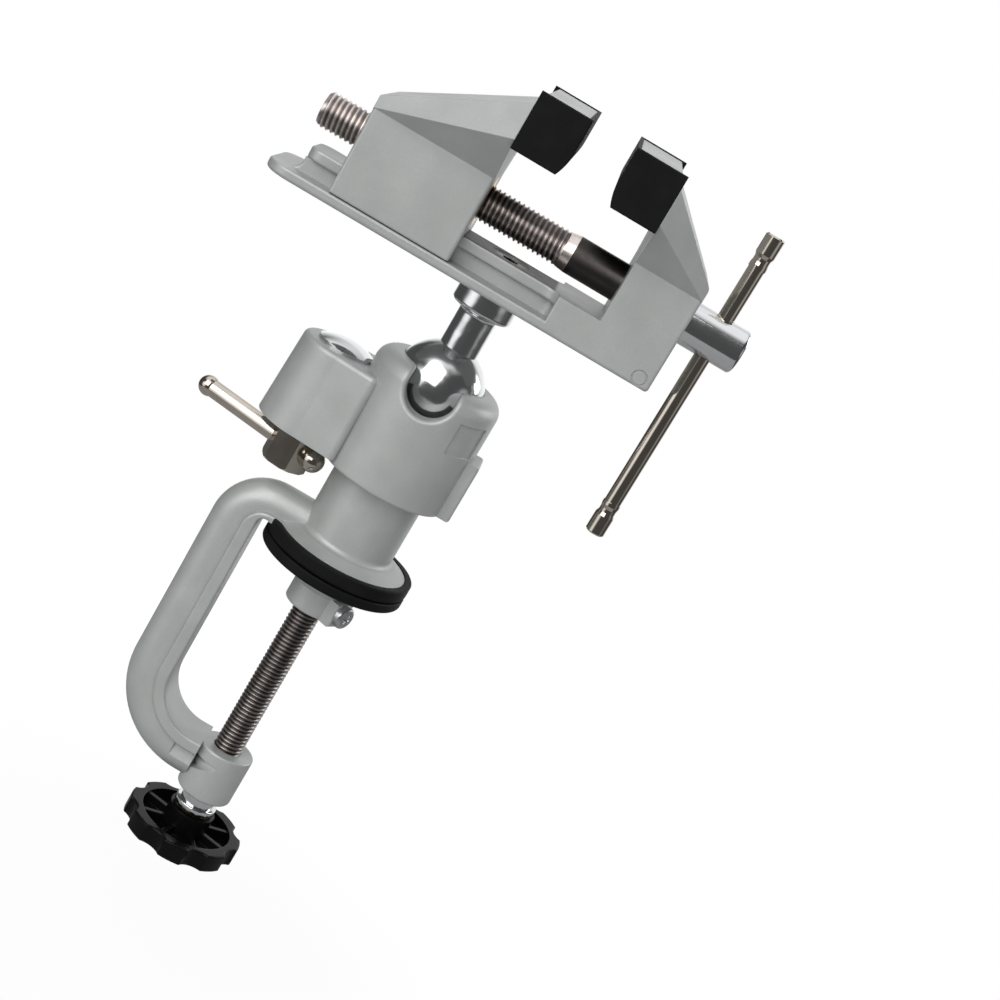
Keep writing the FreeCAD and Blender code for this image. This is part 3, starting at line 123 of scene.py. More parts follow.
class BallViseFasteners(bpy.types.PropertyGroup):
    """Sizes of the small screws' heads and recesses."""

    pan_height: length("Pan head height", "Height of the plate screw's head", 2.5 * MM)
    pan_shank: length("Pan screw shank", "Radius of the plate screw's shank", 1.95 * MM)
    pan_angle: FloatProperty(
        name="Pan screw angle", description="Direction of the plate screw about Z, degrees", default=-30.0
    )
    cross_reach: length("Cross reach", "Axis to the tip of the cross recess's arms", 2.35 * MM)
    cross_width: length("Cross width", "Half the width of one arm of the cross", 0.5 * MM)
    cross_depth: length("Cross depth", "Depth of the cross recess", 1.5 * MM)
    socket_flats: length("Socket flats", "Width across the hexagon socket's flats", 5.0 * MM)
    socket_depth: length("Socket depth", "Depth of the hexagon socket", 2.6 * MM)
    socket_shank: length("Socket bolt shank", "Radius of the stud bolt's shank", 4.0 * MM)


class BallViseFinishes(bpy.types.PropertyGroup):
    """Colours of the finishes."""

    paint: colour("Silver paint", "Sprayed finish of the castings", (0.42, 0.435, 0.428))
    rubber: colour("Rubber", "Jaw boots and clamp pads", (0.0042, 0.0042, 0.0046))
    plastic: colour("Plastic", "Moulded clamp knob", (0.003, 0.003, 0.0034))
    chrome: colour("Chrome", "Ball stud, clamp bolt, collar and the lead screw's head", (0.66, 0.67, 0.68))
    nickel: colour("Nickel", "Lever and tommy bar", (0.55, 0.50, 0.44))
    # the lead thread is this steel painted lighter as light, the clamp thread is it painted darker as shade
    steel: colour("Oiled steel", "Threads, blackened pieces and spring steel", (0.20, 0.18, 0.172))
    zinc: colour("Zinc plate", "Plate screw and the locking pieces", (0.52, 0.525, 0.535))
    brass: colour("Brass", "Nut and insert", (0.60, 0.42, 0.17))
    nylon: colour("Nylon", "Ball liner", (0.012, 0.012, 0.013))
    # the oil film on the rail also holds painted shade from the lead screw and the jaws
    film_start: length("Oil film and painted shade", "Where the oil on the rail starts, along X", -35.0 * MM, -1.0)


class BallViseStage(bpy.types.PropertyGroup):
    """Camera and light."""

    camera_x: length("Camera X", "Camera place across the part", 0.0096, -10.0)
    camera_y: length("Camera Y", "Camera place in front of the part", -0.6013, -10.0)
    camera_z: length("Camera Z", "Camera height", 0.1970, -10.0)
    yaw: FloatProperty(name="Yaw", description="Camera turn about Z, degrees", default=-2.54)
    pitch: FloatProperty(name="Pitch", description="Camera's downward tilt, degrees", default=14.11)
    roll: FloatProperty(name="Roll", description="Camera roll about its view, degrees", default=-30.95)
    lens: FloatProperty(
        name="Lens", description="Focal length on a 36 mm sensor", default=68.5, subtype="DISTANCE_CAMERA"
    )
    floor: colour("Floor", "Colour of the floor", (0.5, 0.5, 0.5))
    floor_half: length("Floor half", "Half the width of the square floor", 0.4)
    floor_gap: length("Floor gap", "Room under the part for the knob's way down", 58.3 * MM)
    light: FloatProperty(name="Key light", description="Power of the main lamp, in watts", default=51.0)


# ---- mesh helpers --------------------------------------------------------------------------------
def grid_faces(rows, columns, closed):
    """Quads of a grid of rows by columns points; closed joins the last column to the first."""
    across = columns if closed else columns - 1
    r, c = np.meshgrid(np.arange(rows - 1), np.arange(across), indexing="ij")
    right = (c + 1) % columns
    return np.stack(
        [r * columns + c, r * columns + right, (r + 1) * columns + right, (r + 1) * columns + c], axis=-1
    ).reshape(-1, 4)


def revolve_mesh(name, along, radius, axis_point, axis, start):
    """A closed surface of revolution with a radius for each height and angle.

    Point (i, j) = axis_point + along[i, j] * axis + radius[i, j] * (cos a_j * start + sin a_j * (axis x
    start)), a_j = 2 pi j / columns. The first and last rows are points on the axis, so both ends close.
    """
    rows, columns = radius.shape
    angle = TURN * np.arange(columns) / columns
    axis = np.asarray(axis, float)
    start = np.asarray(start, float)
    side = np.cross(axis, start)
    rim = np.cos(angle)[:, None] * start + np.sin(angle)[:, None] * side
    points = np.asarray(axis_point, float) + along[..., None] * axis + radius[..., None] * rim[None]
    inner = points[1:-1].reshape(-1, 3)
    vertices = np.vstack([points[0].mean(0)[None], inner, points[-1].mean(0)[None]])
    quads = grid_faces(rows - 2, columns, True) + 1
    quads = quads[:, ::-1]
    j = np.arange(columns)
    following = (j + 1) % columns
    last = len(vertices) - 1
    base = 1 + (rows - 3) * columns
    caps = [np.stack([np.zeros(columns, int), 1 + j, 1 + following], axis=-1)]
    caps.append(np.stack([np.full(columns, last), base + following, base + j], axis=-1))
    loops = np.concatenate([quads.ravel(), np.concatenate(caps).ravel()])
    sizes = np.concatenate([np.full(len(quads), 4), np.full(2 * columns, 3)])
    mesh = bpy.data.meshes.new(name)
    mesh.vertices.add(len(vertices))
    mesh.vertices.foreach_set("co", vertices.astype(np.float32).ravel())
    mesh.loops.add(len(loops))
    mesh.loops.foreach_set("vertex_index", loops.astype(np.int32))
    mesh.polygons.add(len(sizes))
    starts = np.concatenate([[0], np.cumsum(sizes)[:-1]])
    mesh.polygons.foreach_set("loop_start", starts.astype(np.int32))
    mesh.polygons.foreach_set("use_smooth", np.ones(len(sizes), bool))
    mesh.update(calc_edges=True)
    mesh.validate()
    return mesh


def spread(values, columns):
    """A grid that holds each value in all the columns of its row."""
    return np.repeat(values[:, None], columns, 1)


def rounded_rim(end, radius, edge, count):
    """Profile points of a quarter round, from the outer radius over to the end face.

    Point k = (end - edge + edge * sin a_k, radius - edge + edge * cos a_k), with a_k from 0 to pi / 2.
    """
    angles = np.linspace(0, math.pi / 2, count)
    return [(end - edge + edge * math.sin(a), radius - edge + edge * math.cos(a)) for a in angles]


def capped(rings):
    """Radii with the first and last rows drawn in to the axis."""
    rings[[0, -1]] = 0
    return rings


def finish_rows(mesh, rows, columns, index):
    """Give each face of a revolve_mesh the material whose index stands at the row it starts from.

    The faces that close the far end take the last row's.
    """
    row = np.concatenate([np.repeat(np.arange(1, rows - 2), columns), np.zeros(columns, int)])
    row = np.concatenate([row, np.full(columns, rows - 1)])
    mesh.polygons.foreach_set("material_index", index[row].astype(np.int32))


def add_piece(name, mesh, body, slot, materials, *nodes):
    """Link a mesh as a piece that rides on a body, stands for CAD nodes and wears materials."""
    piece = bpy.data.objects.new(name, mesh)
    bpy.context.scene.collection.objects.link(piece)
    for material in materials:
        mesh.materials.append(material)
    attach(piece, body)
    if nodes:
        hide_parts(*nodes)


def sharpen(mesh, degrees):
    """Keep edges sharper than an angle crisp under smooth shading."""
    mesh.set_sharp_from_angle(angle=math.radians(degrees))


def smoothstep(low, high, value):
    """0 below low, 1 above high, and 3 t^2 - 2 t^3 between them."""
    t = np.clip((value - low) / (high - low), 0, 1)
    return t * t * (3 - 2 * t)


def thread_profile(phase):
    """Depth share of a rolled V thread, 0 on the crest and 1 in the root, over one pitch of phase."""
    flat = 0.08  # share of a flank that stays level at the crest, and again at the root
    wave = np.abs(2 * (phase % 1.0) - 1)
    return smoothstep(flat, 1 - flat, 1 - wave)


def screw_radius(along, outline, pitch, depth, first, last, columns):
    """Radius of a threaded rod: outline(x) less depth * profile(x / pitch - angle / 2 pi).

    The thread fades in over one pitch after first and out over one pitch before last.
    """
    angle_share = np.arange(columns) / columns
    phase = along[:, None] / pitch - angle_share[None, :]
    fade = smoothstep(first, first + pitch, along) * (1 - smoothstep(last - pitch, last, along))
    cut = thread_profile(phase) * depth * fade[:, None]
    return outline[:, None] - cut, cut / depth


def mark_roots(mesh, root):
    """The root attribute: the thread's depth share at each point of a revolve_mesh, for its finish."""
    attribute = mesh.attributes.new("root", "FLOAT", "POINT")
    values = np.concatenate([[0], root[1:-1].ravel(), [0]])
    attribute.data.foreach_set("value", values.astype(np.float32))


# ---- shader helpers ------------------------------------------------------------------------------
def node(tree, kind, **values):
    """A new node; keyword names are its properties, or its inputs where the name has a leading i_."""
    made = tree.nodes.new(kind)
    for key, value in values.items():
        if key.startswith("i_"):
            made.inputs[key[2:].replace("_", " ")].default_value = value
        else:
            setattr(made, key, value)
    return made


def math_node(tree, operation, *values):
    """A Math node whose inputs are sockets or numbers."""
    made = node(tree, "ShaderNodeMath", operation=operation)
    for index, value in enumerate(values):
        if isinstance(value, bpy.types.NodeSocket):
            tree.links.new(value, made.inputs[index])
        else:
            made.inputs[index].default_value = value
    return made.outputs[0]


def ramp(tree, factor, low, high, to_low=0.0, to_high=1.0):
    """A Map Range that takes low..high to to_low..to_high and clamps."""
    made = node(tree, "ShaderNodeMapRange")
    tree.links.new(factor, made.inputs["Value"])
    made.inputs["From Min"].default_value = low
    made.inputs["From Max"].default_value = high
    made.inputs["To Min"].default_value = to_low
    made.inputs["To Max"].default_value = to_high
    return made.outputs["Result"]


def mixed(tree, factor, first, second):
    """A colour mix whose inputs are sockets or colours."""
    made = node(tree, "ShaderNodeMix", data_type="RGBA")
    tree.links.new(factor, made.inputs["Factor"])
    for socket, value in ((made.inputs[6], first), (made.inputs[7], second)):
        if isinstance(value, bpy.types.NodeSocket):
            tree.links.new(value, socket)
        else:
            socket.default_value = (*value, 1.0)
    return made.outputs[2]


def new_group(name, inputs, outputs):
    """An empty shader node group with float or vector sockets."""
    group = bpy.data.node_groups.new(name, "ShaderNodeTree")
    for label, kind, value in inputs:
        socket = group.interface.new_socket(label, in_out="INPUT", socket_type=kind)
        if value is not None:
            socket.default_value = value
    for label, kind in outputs:
        group.interface.new_socket(label, in_out="OUTPUT", socket_type=kind)
    return group, group.nodes.new("NodeGroupInput"), group.nodes.new("NodeGroupOutput")


def scaled_noise(tree, vector, scale, detail, roughness):
    """A noise whose scale is a socket."""
    made = node(tree, "ShaderNodeTexNoise", i_Detail=detail, i_Roughness=roughness)
    tree.links.new(vector, made.inputs["Vector"])
    tree.links.new(scale, made.inputs["Scale"])
    return made.outputs["Fac"]


def surface_grain_group():
    """Fine grain and slow mottle, shared by the paint, the rubber and the plastic."""
    tree, source, sink = new_group(
        "Surface grain",
        [
            ("Vector", "NodeSocketVector", None),
            ("Grain scale", "NodeSocketFloat", 1400.0),
            ("Mottle scale", "NodeSocketFloat", 60.0),
        ],
        [("Grain", "NodeSocketFloat"), ("Mottle", "NodeSocketFloat"), ("Height", "NodeSocketFloat")],
    )
    place = source.outputs["Vector"]
    grain = scaled_noise(tree, place, source.outputs["Grain scale"], detail=3.0, roughness=0.6)
    mottle = scaled_noise(tree, place, source.outputs["Mottle scale"], detail=4.0, roughness=0.55)
    mottle_height = 1.6  # against the grain's
    height = math_node(tree, "ADD", grain, math_node(tree, "MULTIPLY", mottle, mottle_height))
    tree.links.new(ramp(tree, grain, 0.3, 0.7), sink.inputs["Grain"])
    tree.links.new(ramp(tree, mottle, 0.3, 0.7), sink.inputs["Mottle"])
    tree.links.new(height, sink.inputs["Height"])
    return tree


def handling_group():
    """Smudges and hairline scratches, shared by the metals."""
    tree, source, sink = new_group(
        "Handling marks",
        [
            ("Vector", "NodeSocketVector", None),
            ("Smudge scale", "NodeSocketFloat", 70.0),
            ("Scratch scale", "NodeSocketFloat", 260.0),
        ],
        [("Smudge", "NodeSocketFloat"), ("Scratch", "NodeSocketFloat")],
    )
    smudge = scaled_noise(
        tree, source.outputs["Vector"], source.outputs["Smudge scale"], detail=4.0, roughness=0.6
    )
    stretched = node(tree, "ShaderNodeMapping", vector_type="POINT")
    tree.links.new(source.outputs["Vector"], stretched.inputs["Vector"])
    stretched.inputs["Rotation"].default_value = (0.35, 0.2, 0.6)
    stretched.inputs["Scale"].default_value = (1.0, 9.0, 9.0)
    scratch = scaled_noise(
        tree, stretched.outputs["Vector"], source.outputs["Scratch scale"], detail=1.0, roughness=0.4
    )
    tree.links.new(ramp(tree, smudge, 0.35, 0.7), sink.inputs["Smudge"])
    tree.links.new(ramp(tree, scratch, 0.68, 0.76), sink.inputs["Scratch"])
    return tree


GROUPS = {"grain": surface_grain_group(), "handling": handling_group()}


class Finish:
    """One material under construction: its tree, its Principled BSDF and its Object coordinates."""

    def __init__(self, name):
        self.material = bpy.data.materials.new(name)
        self.material.use_nodes = True
        self.tree = self.material.node_tree
        self.shader = self.tree.nodes["Principled BSDF"]
        self.place = node(self.tree, "ShaderNodeTexCoord").outputs["Object"]

    def group(self, key, **values):
        made = node(self.tree, "ShaderNodeGroup", node_tree=GROUPS[key])
        self.tree.links.new(self.place, made.inputs["Vector"])
        for label, value in values.items():
            made.inputs[label.replace("_", " ")].default_value = value
        return made.outputs

    def set(self, **values):
        for label, value in values.items():
            self.shader.inputs[label.replace("_", " ")].default_value = value

    def feed(self, label, socket):
        self.tree.links.new(socket, self.shader.inputs[label])

    def between(self, mask, clear, marked):
        """A value that goes from clear to marked as a mask goes from 0 to 1."""
        return ramp(self.tree, mask, 0.0, 1.0, clear, marked)

    def bump(self, height, strength, distance, soft_edge=0.0):
        """A bump from a height; soft_edge rounds the look of sharp corners by that radius."""
        made = node(self.tree, "ShaderNodeBump", i_Strength=strength, i_Distance=distance)
        self.tree.links.new(height, made.inputs["Height"])
        if soft_edge:
            bevel = node(self.tree, "ShaderNodeBevel", samples=4, i_Radius=soft_edge)
            self.tree.links.new(bevel.outputs["Normal"], made.inputs["Normal"])
        self.feed("Normal", made.outputs["Normal"])


def shade(rgb, factor):
    """A colour made lighter or darker by a factor."""
    return tuple(min(1.0, c * factor) for c in rgb)


def paint_finish(name, rgb, film=None):
    """Sprayed silver over sand-cast aluminium: fine pebble, slow unevenness, rubbed spots.

    A film is the height, start and end along X of a flat that has dark oil with painted shade, where the
    lead screw and the jaws shade it.
    """
    finish = Finish(name)
    grain = finish.group("grain", Grain_scale=1700.0, Mottle_scale=95.0)
    marks = finish.group("handling", Smudge_scale=45.0, Scratch_scale=150.0)
    base = mixed(finish.tree, grain["Mottle"], shade(rgb, 0.93), shade(rgb, 1.05))
    base = mixed(finish.tree, finish.between(grain["Grain"], 0.0, 0.4), base, shade(rgb, 0.84))
    if film:
        level, start, end = film
        skin = 0.1 * MM  # the film is whole this far off its level, and gone at twice that
        fade = 8 * MM
        place = node(finish.tree, "ShaderNodeSeparateXYZ")
        finish.tree.links.new(finish.place, place.inputs[0])
        off_level = math_node(finish.tree, "SUBTRACT", place.outputs["Z"], level)
        off_level = math_node(finish.tree, "ABSOLUTE", off_level)
        flat = ramp(finish.tree, off_level, skin, 2 * skin, 1.0, 0.0)
        after = ramp(finish.tree, place.outputs["X"], start, start + fade)
        before = ramp(finish.tree, place.outputs["X"], end - MM, end, 1.0, 0.0)
        # oil and painted shade: a dark colour for the oil and for the shade of the lead screw and the jaws
        # on the rail
        oil_shade_share = finish.between(marks["Smudge"], 0.95, 0.7)
        for share in (flat, after, before):
            oil_shade_share = math_node(finish.tree, "MULTIPLY", oil_shade_share, share)
        base = mixed(finish.tree, oil_shade_share, base, OIL_AND_SHADE)
        finish.feed("Metallic", finish.between(oil_shade_share, 0.3, 0.0))
        finish.feed("Specular IOR Level", finish.between(oil_shade_share, 0.45, 0.0))
    finish.feed("Base Color", base)
    finish.feed("Roughness", finish.between(marks["Smudge"], 0.40, 0.50))
    finish.set(Metallic=0.3, Specular_IOR_Level=0.45)
    finish.bump(grain["Height"], strength=0.24, distance=0.00012, soft_edge=0.0003)
    return finish.material


def rubber_finish(rgb):
    """Dull moulded rubber with a dusty bloom."""
    finish = Finish("Black rubber")
    grain = finish.group("grain", Grain_scale=2200.0, Mottle_scale=110.0)
    dust = ramp(finish.tree, grain["Mottle"], low=0.35, high=1.0, to_high=0.5)
    finish.feed("Base Color", mixed(finish.tree, dust, rgb, shade(rgb, 2.0)))
    finish.feed("Roughness", finish.between(grain["Grain"], 0.55, 0.75))
    finish.set(Specular_IOR_Level=0.14)
    finish.bump(grain["Height"], strength=0.25, distance=0.0001)
    return finish.material


def plastic_finish(rgb):
    """Glossy moulded plastic with faint scuffs."""
    finish = Finish("Black plastic")
    grain = finish.group("grain", Grain_scale=900.0, Mottle_scale=140.0)
    marks = finish.group("handling", Smudge_scale=120.0, Scratch_scale=320.0)
    scuff = math_node(finish.tree, "MULTIPLY", marks["Scratch"], 0.3)
    finish.feed("Base Color", mixed(finish.tree, scuff, rgb, shade(rgb, 6.0)))
    finish.feed("Roughness", finish.between(marks["Smudge"], 0.20, 0.34))
    finish.set(Specular_IOR_Level=0.12)
    finish.bump(grain["Height"], strength=0.08, distance=0.00008, soft_edge=0.0004)
    return finish.material


def metal_finish(name, rgb, roughness, marks_scale, tarnish, bump=0.0, ripple=0.0):
    """A plated or polished metal: smudges change the roughness, tarnish and scratches the colour.

    A ripple leaves the slow unevenness of a casting that was plated without much polishing.
    """
    finish = Finish(name)
    mottle_scale = 3.2 * marks_scale
    marks = finish.group("handling", Smudge_scale=marks_scale, Scratch_scale=4 * marks_scale)
    base = mixed(finish.tree, marks["Smudge"], rgb, shade(rgb, tarnish))
    scratch = math_node(finish.tree, "MULTIPLY", marks["Scratch"], 0.5)
    finish.feed("Base Color", mixed(finish.tree, scratch, base, shade(rgb, 1.15)))
    finish.feed("Roughness", finish.between(marks["Smudge"], roughness, roughness * 1.8))
    finish.set(Metallic=1.0)
    grain = finish.group("grain", Grain_scale=1800.0, Mottle_scale=mottle_scale)
    height = math_node(finish.tree, "MULTIPLY", grain["Height"], bump)
    if ripple:
        waves = node(finish.tree, "ShaderNodeTexNoise", i_Scale=mottle_scale, i_Detail=1.0)
        finish.tree.links.new(finish.place, waves.inputs["Vector"])
        waves = math_node(finish.tree, "MULTIPLY", waves.outputs["Fac"], ripple)
        height = math_node(finish.tree, "ADD", height, waves)
    finish.bump(height, strength=1.0, distance=0.00006)
    return finish.material


def thread_finish(name, rgb):
    """Oiled steel thread: crests painted bright as a highlight and roots painted dark as shade, by the root
    attribute.
    """
    finish = Finish(name)
    root = node(finish.tree, "ShaderNodeAttribute", attribute_name="root").outputs["Fac"]
    marks = finish.group("handling", Smudge_scale=160.0, Scratch_scale=500.0)
    grain = finish.group("grain", Grain_scale=2600.0, Mottle_scale=180.0)
    # crests painted lighter as a highlight, varied by smudges
    crest = mixed(finish.tree, marks["Smudge"], shade(rgb, 2.5), shade(rgb, 1.5))
    # roots painted darker as shade
    root_shade = ramp(finish.tree, root, low=0.2, high=0.9)
    finish.feed("Base Color", mixed(finish.tree, root_shade, crest, shade(rgb, 0.5)))
    finish.feed("Roughness", finish.between(grain["Grain"], 0.24, 0.38))
    finish.set(Metallic=1.0)
    finish.bump(grain["Height"], strength=0.15, distance=0.00006)
    return finish.material


def nylon_finish(rgb):
    """Near-black nylon, as dark as the gap under the ball, with faint flow marks."""
    finish = Finish("Nylon")
    grain = finish.group("grain", Grain_scale=1200.0, Mottle_scale=150.0)
    finish.feed("Base Color", mixed(finish.tree, grain["Mottle"], rgb, shade(rgb, 1.5)))
    finish.feed("Roughness", finish.between(grain["Grain"], 0.3, 0.45))
    finish.set(Specular_IOR_Level=0.4)
    finish.bump(grain["Height"], strength=0.1, distance=0.00006)
    return finish.material


def node_points(name):
    """The corners of a CAD node's mesh as an array."""
    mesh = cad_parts[name].data
    points = np.empty(3 * len(mesh.vertices), np.float32)
    mesh.vertices.foreach_get("co", points)
    return points.reshape(-1, 3)


def rail_top():
    """Height of the rail that the moving jaw runs on: the highest point of the base's left half."""
    points = node_points("vise_base")
    return float(points[points[:, 0] < 0][:, 2].max())


def fixed_jaw_face():
    """Where the fixed jaw starts along X: the lowest X of the base above the rail."""
    points = node_points("vise_base")
    return float(points[points[:, 2] > rail_top() + MM][:, 0].min())


def finishes(scene):
    """All materials of the part, made once from the scene's colours."""
    found = scene.get("ball_vise_materials")
    if found:
        return {key: bpy.data.materials[name] for key, name in found.items()}
    tint = scene.ball_vise_finishes
    # this lighter steel also paints the lead thread lighter than the clamp thread, as light
    spring_steel_and_lit_lead = shade(tint.steel, 1.8)
    # this dark steel is blackened, and also painted shade on the lead screw's shank and the stud bolt
    black_steel_and_shade = shade(tint.steel, 0.4)
    # the rail's oil film, darkened further as painted shade
    oiled_and_shaded = (rail_top(), tint.film_start, fixed_jaw_face())
    made = {
        "paint": paint_finish("Silver paint", tint.paint),
        "rail": paint_finish("Silver paint with oil and painted shade on the rail", tint.paint, oiled_and_shaded),
        "rubber": rubber_finish(tint.rubber),
        "plastic": plastic_finish(tint.plastic),
        "chrome": metal_finish(
            "Bright chrome", tint.chrome, roughness=0.12, marks_scale=60.0, tarnish=0.86, ripple=3.2
        ),
        "polished": metal_finish(
            "Polished chrome", tint.chrome, roughness=0.08, marks_scale=70.0, tarnish=0.92, ripple=0.15
        ),
        "nickel": metal_finish(
            "Nickel plate", tint.nickel, roughness=0.09, marks_scale=90.0, tarnish=0.86, ripple=0.2
        ),
        # both threads are one steel: painted lighter on the lead screw and darker on the clamp screw, for
        # how light falls on each
        "lead": thread_finish("Steel lead thread with painted light", spring_steel_and_lit_lead),
        "clamp": thread_finish("Oiled clamp thread with painted shade", shade(tint.steel, 0.6)),
        "zinc": metal_finish(
            "Zinc plate", tint.zinc, roughness=0.24, marks_scale=90.0, tarnish=0.8, bump=0.08
        ),
        "steel": metal_finish(
            "Dark steel", spring_steel_and_lit_lead, roughness=0.26, marks_scale=90.0, tarnish=0.75, bump=0.08
        ),
        "blackened_and_shaded": metal_finish(
            "Blackened steel with painted shade", black_steel_and_shade, roughness=0.3, marks_scale=90.0, tarnish=0.75, bump=0.08
        ),
        "brass": metal_finish(
            "Brass", tint.brass, roughness=0.25, marks_scale=80.0, tarnish=0.8, bump=0.06
        ),
        "nylon": nylon_finish(tint.nylon),
    }
    scene["ball_vise_materials"] = {key: material.name for key, material in made.items()}
    return made


def dress(names, material):
    """Give CAD nodes a finish."""
    for name in names:
        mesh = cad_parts[name].data
        mesh.materials.clear()
        mesh.materials.append(material)


# ---- operators -----------------------------------------------------------------------------------
class BALLVISE_OT_castings(bpy.types.Operator):
    """Paint the C-frame, the ball housing, the base, the moving jaw and the pressure plate"""

    bl_idname = "ball_vise.castings"
    bl_label = "Castings"

    def execute(self, context):
        made = finishes(context.scene)
        dress(["clamp_frame", "ball_housing", "movable_jaw", "pressure_plate"], made["paint"])
        dress(["vise_base"], made["rail"])
        return {"FINISHED"}


class BALLVISE_OT_rubber_parts(bpy.types.Operator):
    """Give the jaw boots and the clamp pads their rubber"""

    bl_idname = "ball_vise.rubber_parts"
    bl_label = "Rubber parts"

    def execute(self, context):
        made = finishes(context.scene)
        dress(["jaw_boot_fixed", "jaw_boot_movable", "table_pad", "pressure_pad"], made["rubber"])
        return {"FINISHED"}


class BALLVISE_OT_bright_parts(bpy.types.Operator):
    """Plate the ball stud and the clamp bolt with chrome, the lever and the tommy bar with nickel"""

    bl_idname = "ball_vise.bright_parts"
    bl_label = "Bright parts"

    def execute(self, context):
        made = finishes(context.scene)
        dress(["ball_stud"], made["chrome"])
        dress(["clamp_bolt"], made["polished"])
        lever = ["lever_hub", "lever_bar", "lever_cap"]
        dress(lever + ["tommy_bar", "tommy_end_lower", "tommy_end_upper"], made["nickel"])
        return {"FINISHED"}


class BALLVISE_OT_knob(bpy.types.Operator):
    """Give the clamp knob its plastic, and its insert and the jaw's nut their brass"""

    bl_idname = "ball_vise.knob"
    bl_label = "Clamp knob"

    def execute(self, context):
        made = finishes(context.scene)
        dress(["knob"], made["plastic"])
        dress(["knob_insert", "jaw_nut"], made["brass"])
        return {"FINISHED"}


class BALLVISE_OT_fittings(bpy.types.Operator):
    """Finish the locking pieces, the liner, the circlip and the lead screw's pin"""

    bl_idname = "ball_vise.fittings"
    bl_label = "Fittings"

    def execute(self, context):
        made = finishes(context.scene)
        dress(["seat_piston", "clamp_plunger", "cotter_upper", "cotter_lower"], made["zinc"])
        dress(["post_circlip", "screw_pin"], made["steel"])
        dress(["ball_liner"], made["nylon"])
        return {"FINISHED"}


class BALLVISE_OT_lead_screw(bpy.types.Operator):
    """Make the lead screw: its thread, the smooth shank and the head with the tommy bar's sunk hole"""

    bl_idname = "ball_vise.lead_screw"
    bl_label = "Lead screw"

    def execute(self, context):
        sizes = context.scene.ball_vise_threads
        low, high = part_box("lead_screw")
        bar_low, bar_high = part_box("tommy_bar")
        head_radius = (high.z - low.z) / 2
        face = high.x - sizes.head_length
        edge = sizes.head_edge
        head_rows = 70  # enough for the hole's rim
        step = sizes.lead_pitch / sizes.rows_per_turn
        taper_end = sizes.lead_end + sizes.lead_taper
        profile = [(low.x, 0.0), (low.x, sizes.lead_radius - sizes.end_chamfer)]
        threaded = np.arange(low.x + sizes.end_chamfer, sizes.lead_end, step)
        profile += [(x, sizes.lead_radius) for x in threaded]
        profile += [(sizes.lead_end, sizes.lead_radius), (taper_end, sizes.shank_radius)]
        profile += [(face, sizes.shank_radius), (face, head_radius - edge / 4)]
        profile += [(face + edge / 4, head_radius)]
        profile += [(x, head_radius) for x in np.linspace(face + edge / 2, high.x - edge, head_rows)]
        profile += rounded_rim(high.x, head_radius, edge, 7)[1:]
        profile += [(high.x, 0.0)]
        along, outline = np.array(profile).T
        rings, root = screw_radius(
            along, outline, sizes.lead_pitch, sizes.lead_depth, low.x, sizes.lead_end + step, sizes.segments
        )
        # the hole's rim is sunk by its distance from the bar's axis: x off the bar's middle, y off zero
        angle = TURN * np.arange(sizes.segments) / sizes.segments
        bar_radius = (bar_high.x - bar_low.x) / 2
        off_x = along[:, None] - (bar_low.x + bar_high.x) / 2
        distance = np.hypot(off_x, rings * np.cos(angle))
        rings -= sizes.hole_edge * (1 - smoothstep(bar_radius, bar_radius + sizes.hole_edge, distance))
        middle = (0, 0, (low.z + high.z) / 2)
        places = spread(along, sizes.segments)
        mesh = revolve_mesh("lead_screw_threaded", places, capped(rings), middle, X_AXIS, Y_AXIS)
        mark_roots(mesh, root)
        # the smooth shank takes the blackened steel as painted shade, the thread the lighter steel, the
        # head chrome
        finish_rows(mesh, len(along), sizes.segments, (along > sizes.lead_end).astype(int) + (along > face))
        sharpen(mesh, 40)
        made = finishes(context.scene)
        finish = (made["lead"], made["blackened_and_shaded"], made["polished"])
        add_piece("lead_screw_threaded", mesh, "lead", "dark_steel", finish, "lead_screw")
        return {"FINISHED"}


class BALLVISE_OT_clamp_screw(bpy.types.Operator):
    """Make the clamp screw's thread from the pressure plate down to the knob"""

    bl_idname = "ball_vise.clamp_screw"
    bl_label = "Clamp screw"

    def execute(self, context):
        sizes = context.scene.ball_vise_threads
        low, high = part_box("clamp_screw")
        tip_low, tip_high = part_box("plate_screw")
        radius = (high.x - low.x) / 2
        chamfer = sizes.end_chamfer
        step = sizes.clamp_pitch / sizes.rows_per_turn
        heights = np.arange(low.z + step, high.z - chamfer, step)
        profile = [(low.z, 0.0), (low.z, radius)]
        profile += [(z, radius) for z in heights]
        profile += [(high.z - chamfer, radius), (high.z, radius - chamfer), (high.z, 0.0)]
        along, outline = np.array(profile).T
        rings, root = screw_radius(
            along, outline, sizes.clamp_pitch, sizes.clamp_depth, low.z, high.z - chamfer, sizes.segments
        )
        in_groove = np.abs(along - (tip_low.z + tip_high.z) / 2) < sizes.groove_width / 2
        rings[in_groove] = sizes.groove_radius
        places = spread(along, sizes.segments)
        mesh = revolve_mesh("clamp_screw_threaded", places, capped(rings), ORIGIN, Z_AXIS, X_AXIS)
        mark_roots(mesh, root)
        sharpen(mesh, 40)
        made = finishes(context.scene)
        add_piece("clamp_screw_threaded", mesh, "screw", "dark_steel", (made["clamp"],), "clamp_screw")
        return {"FINISHED"}


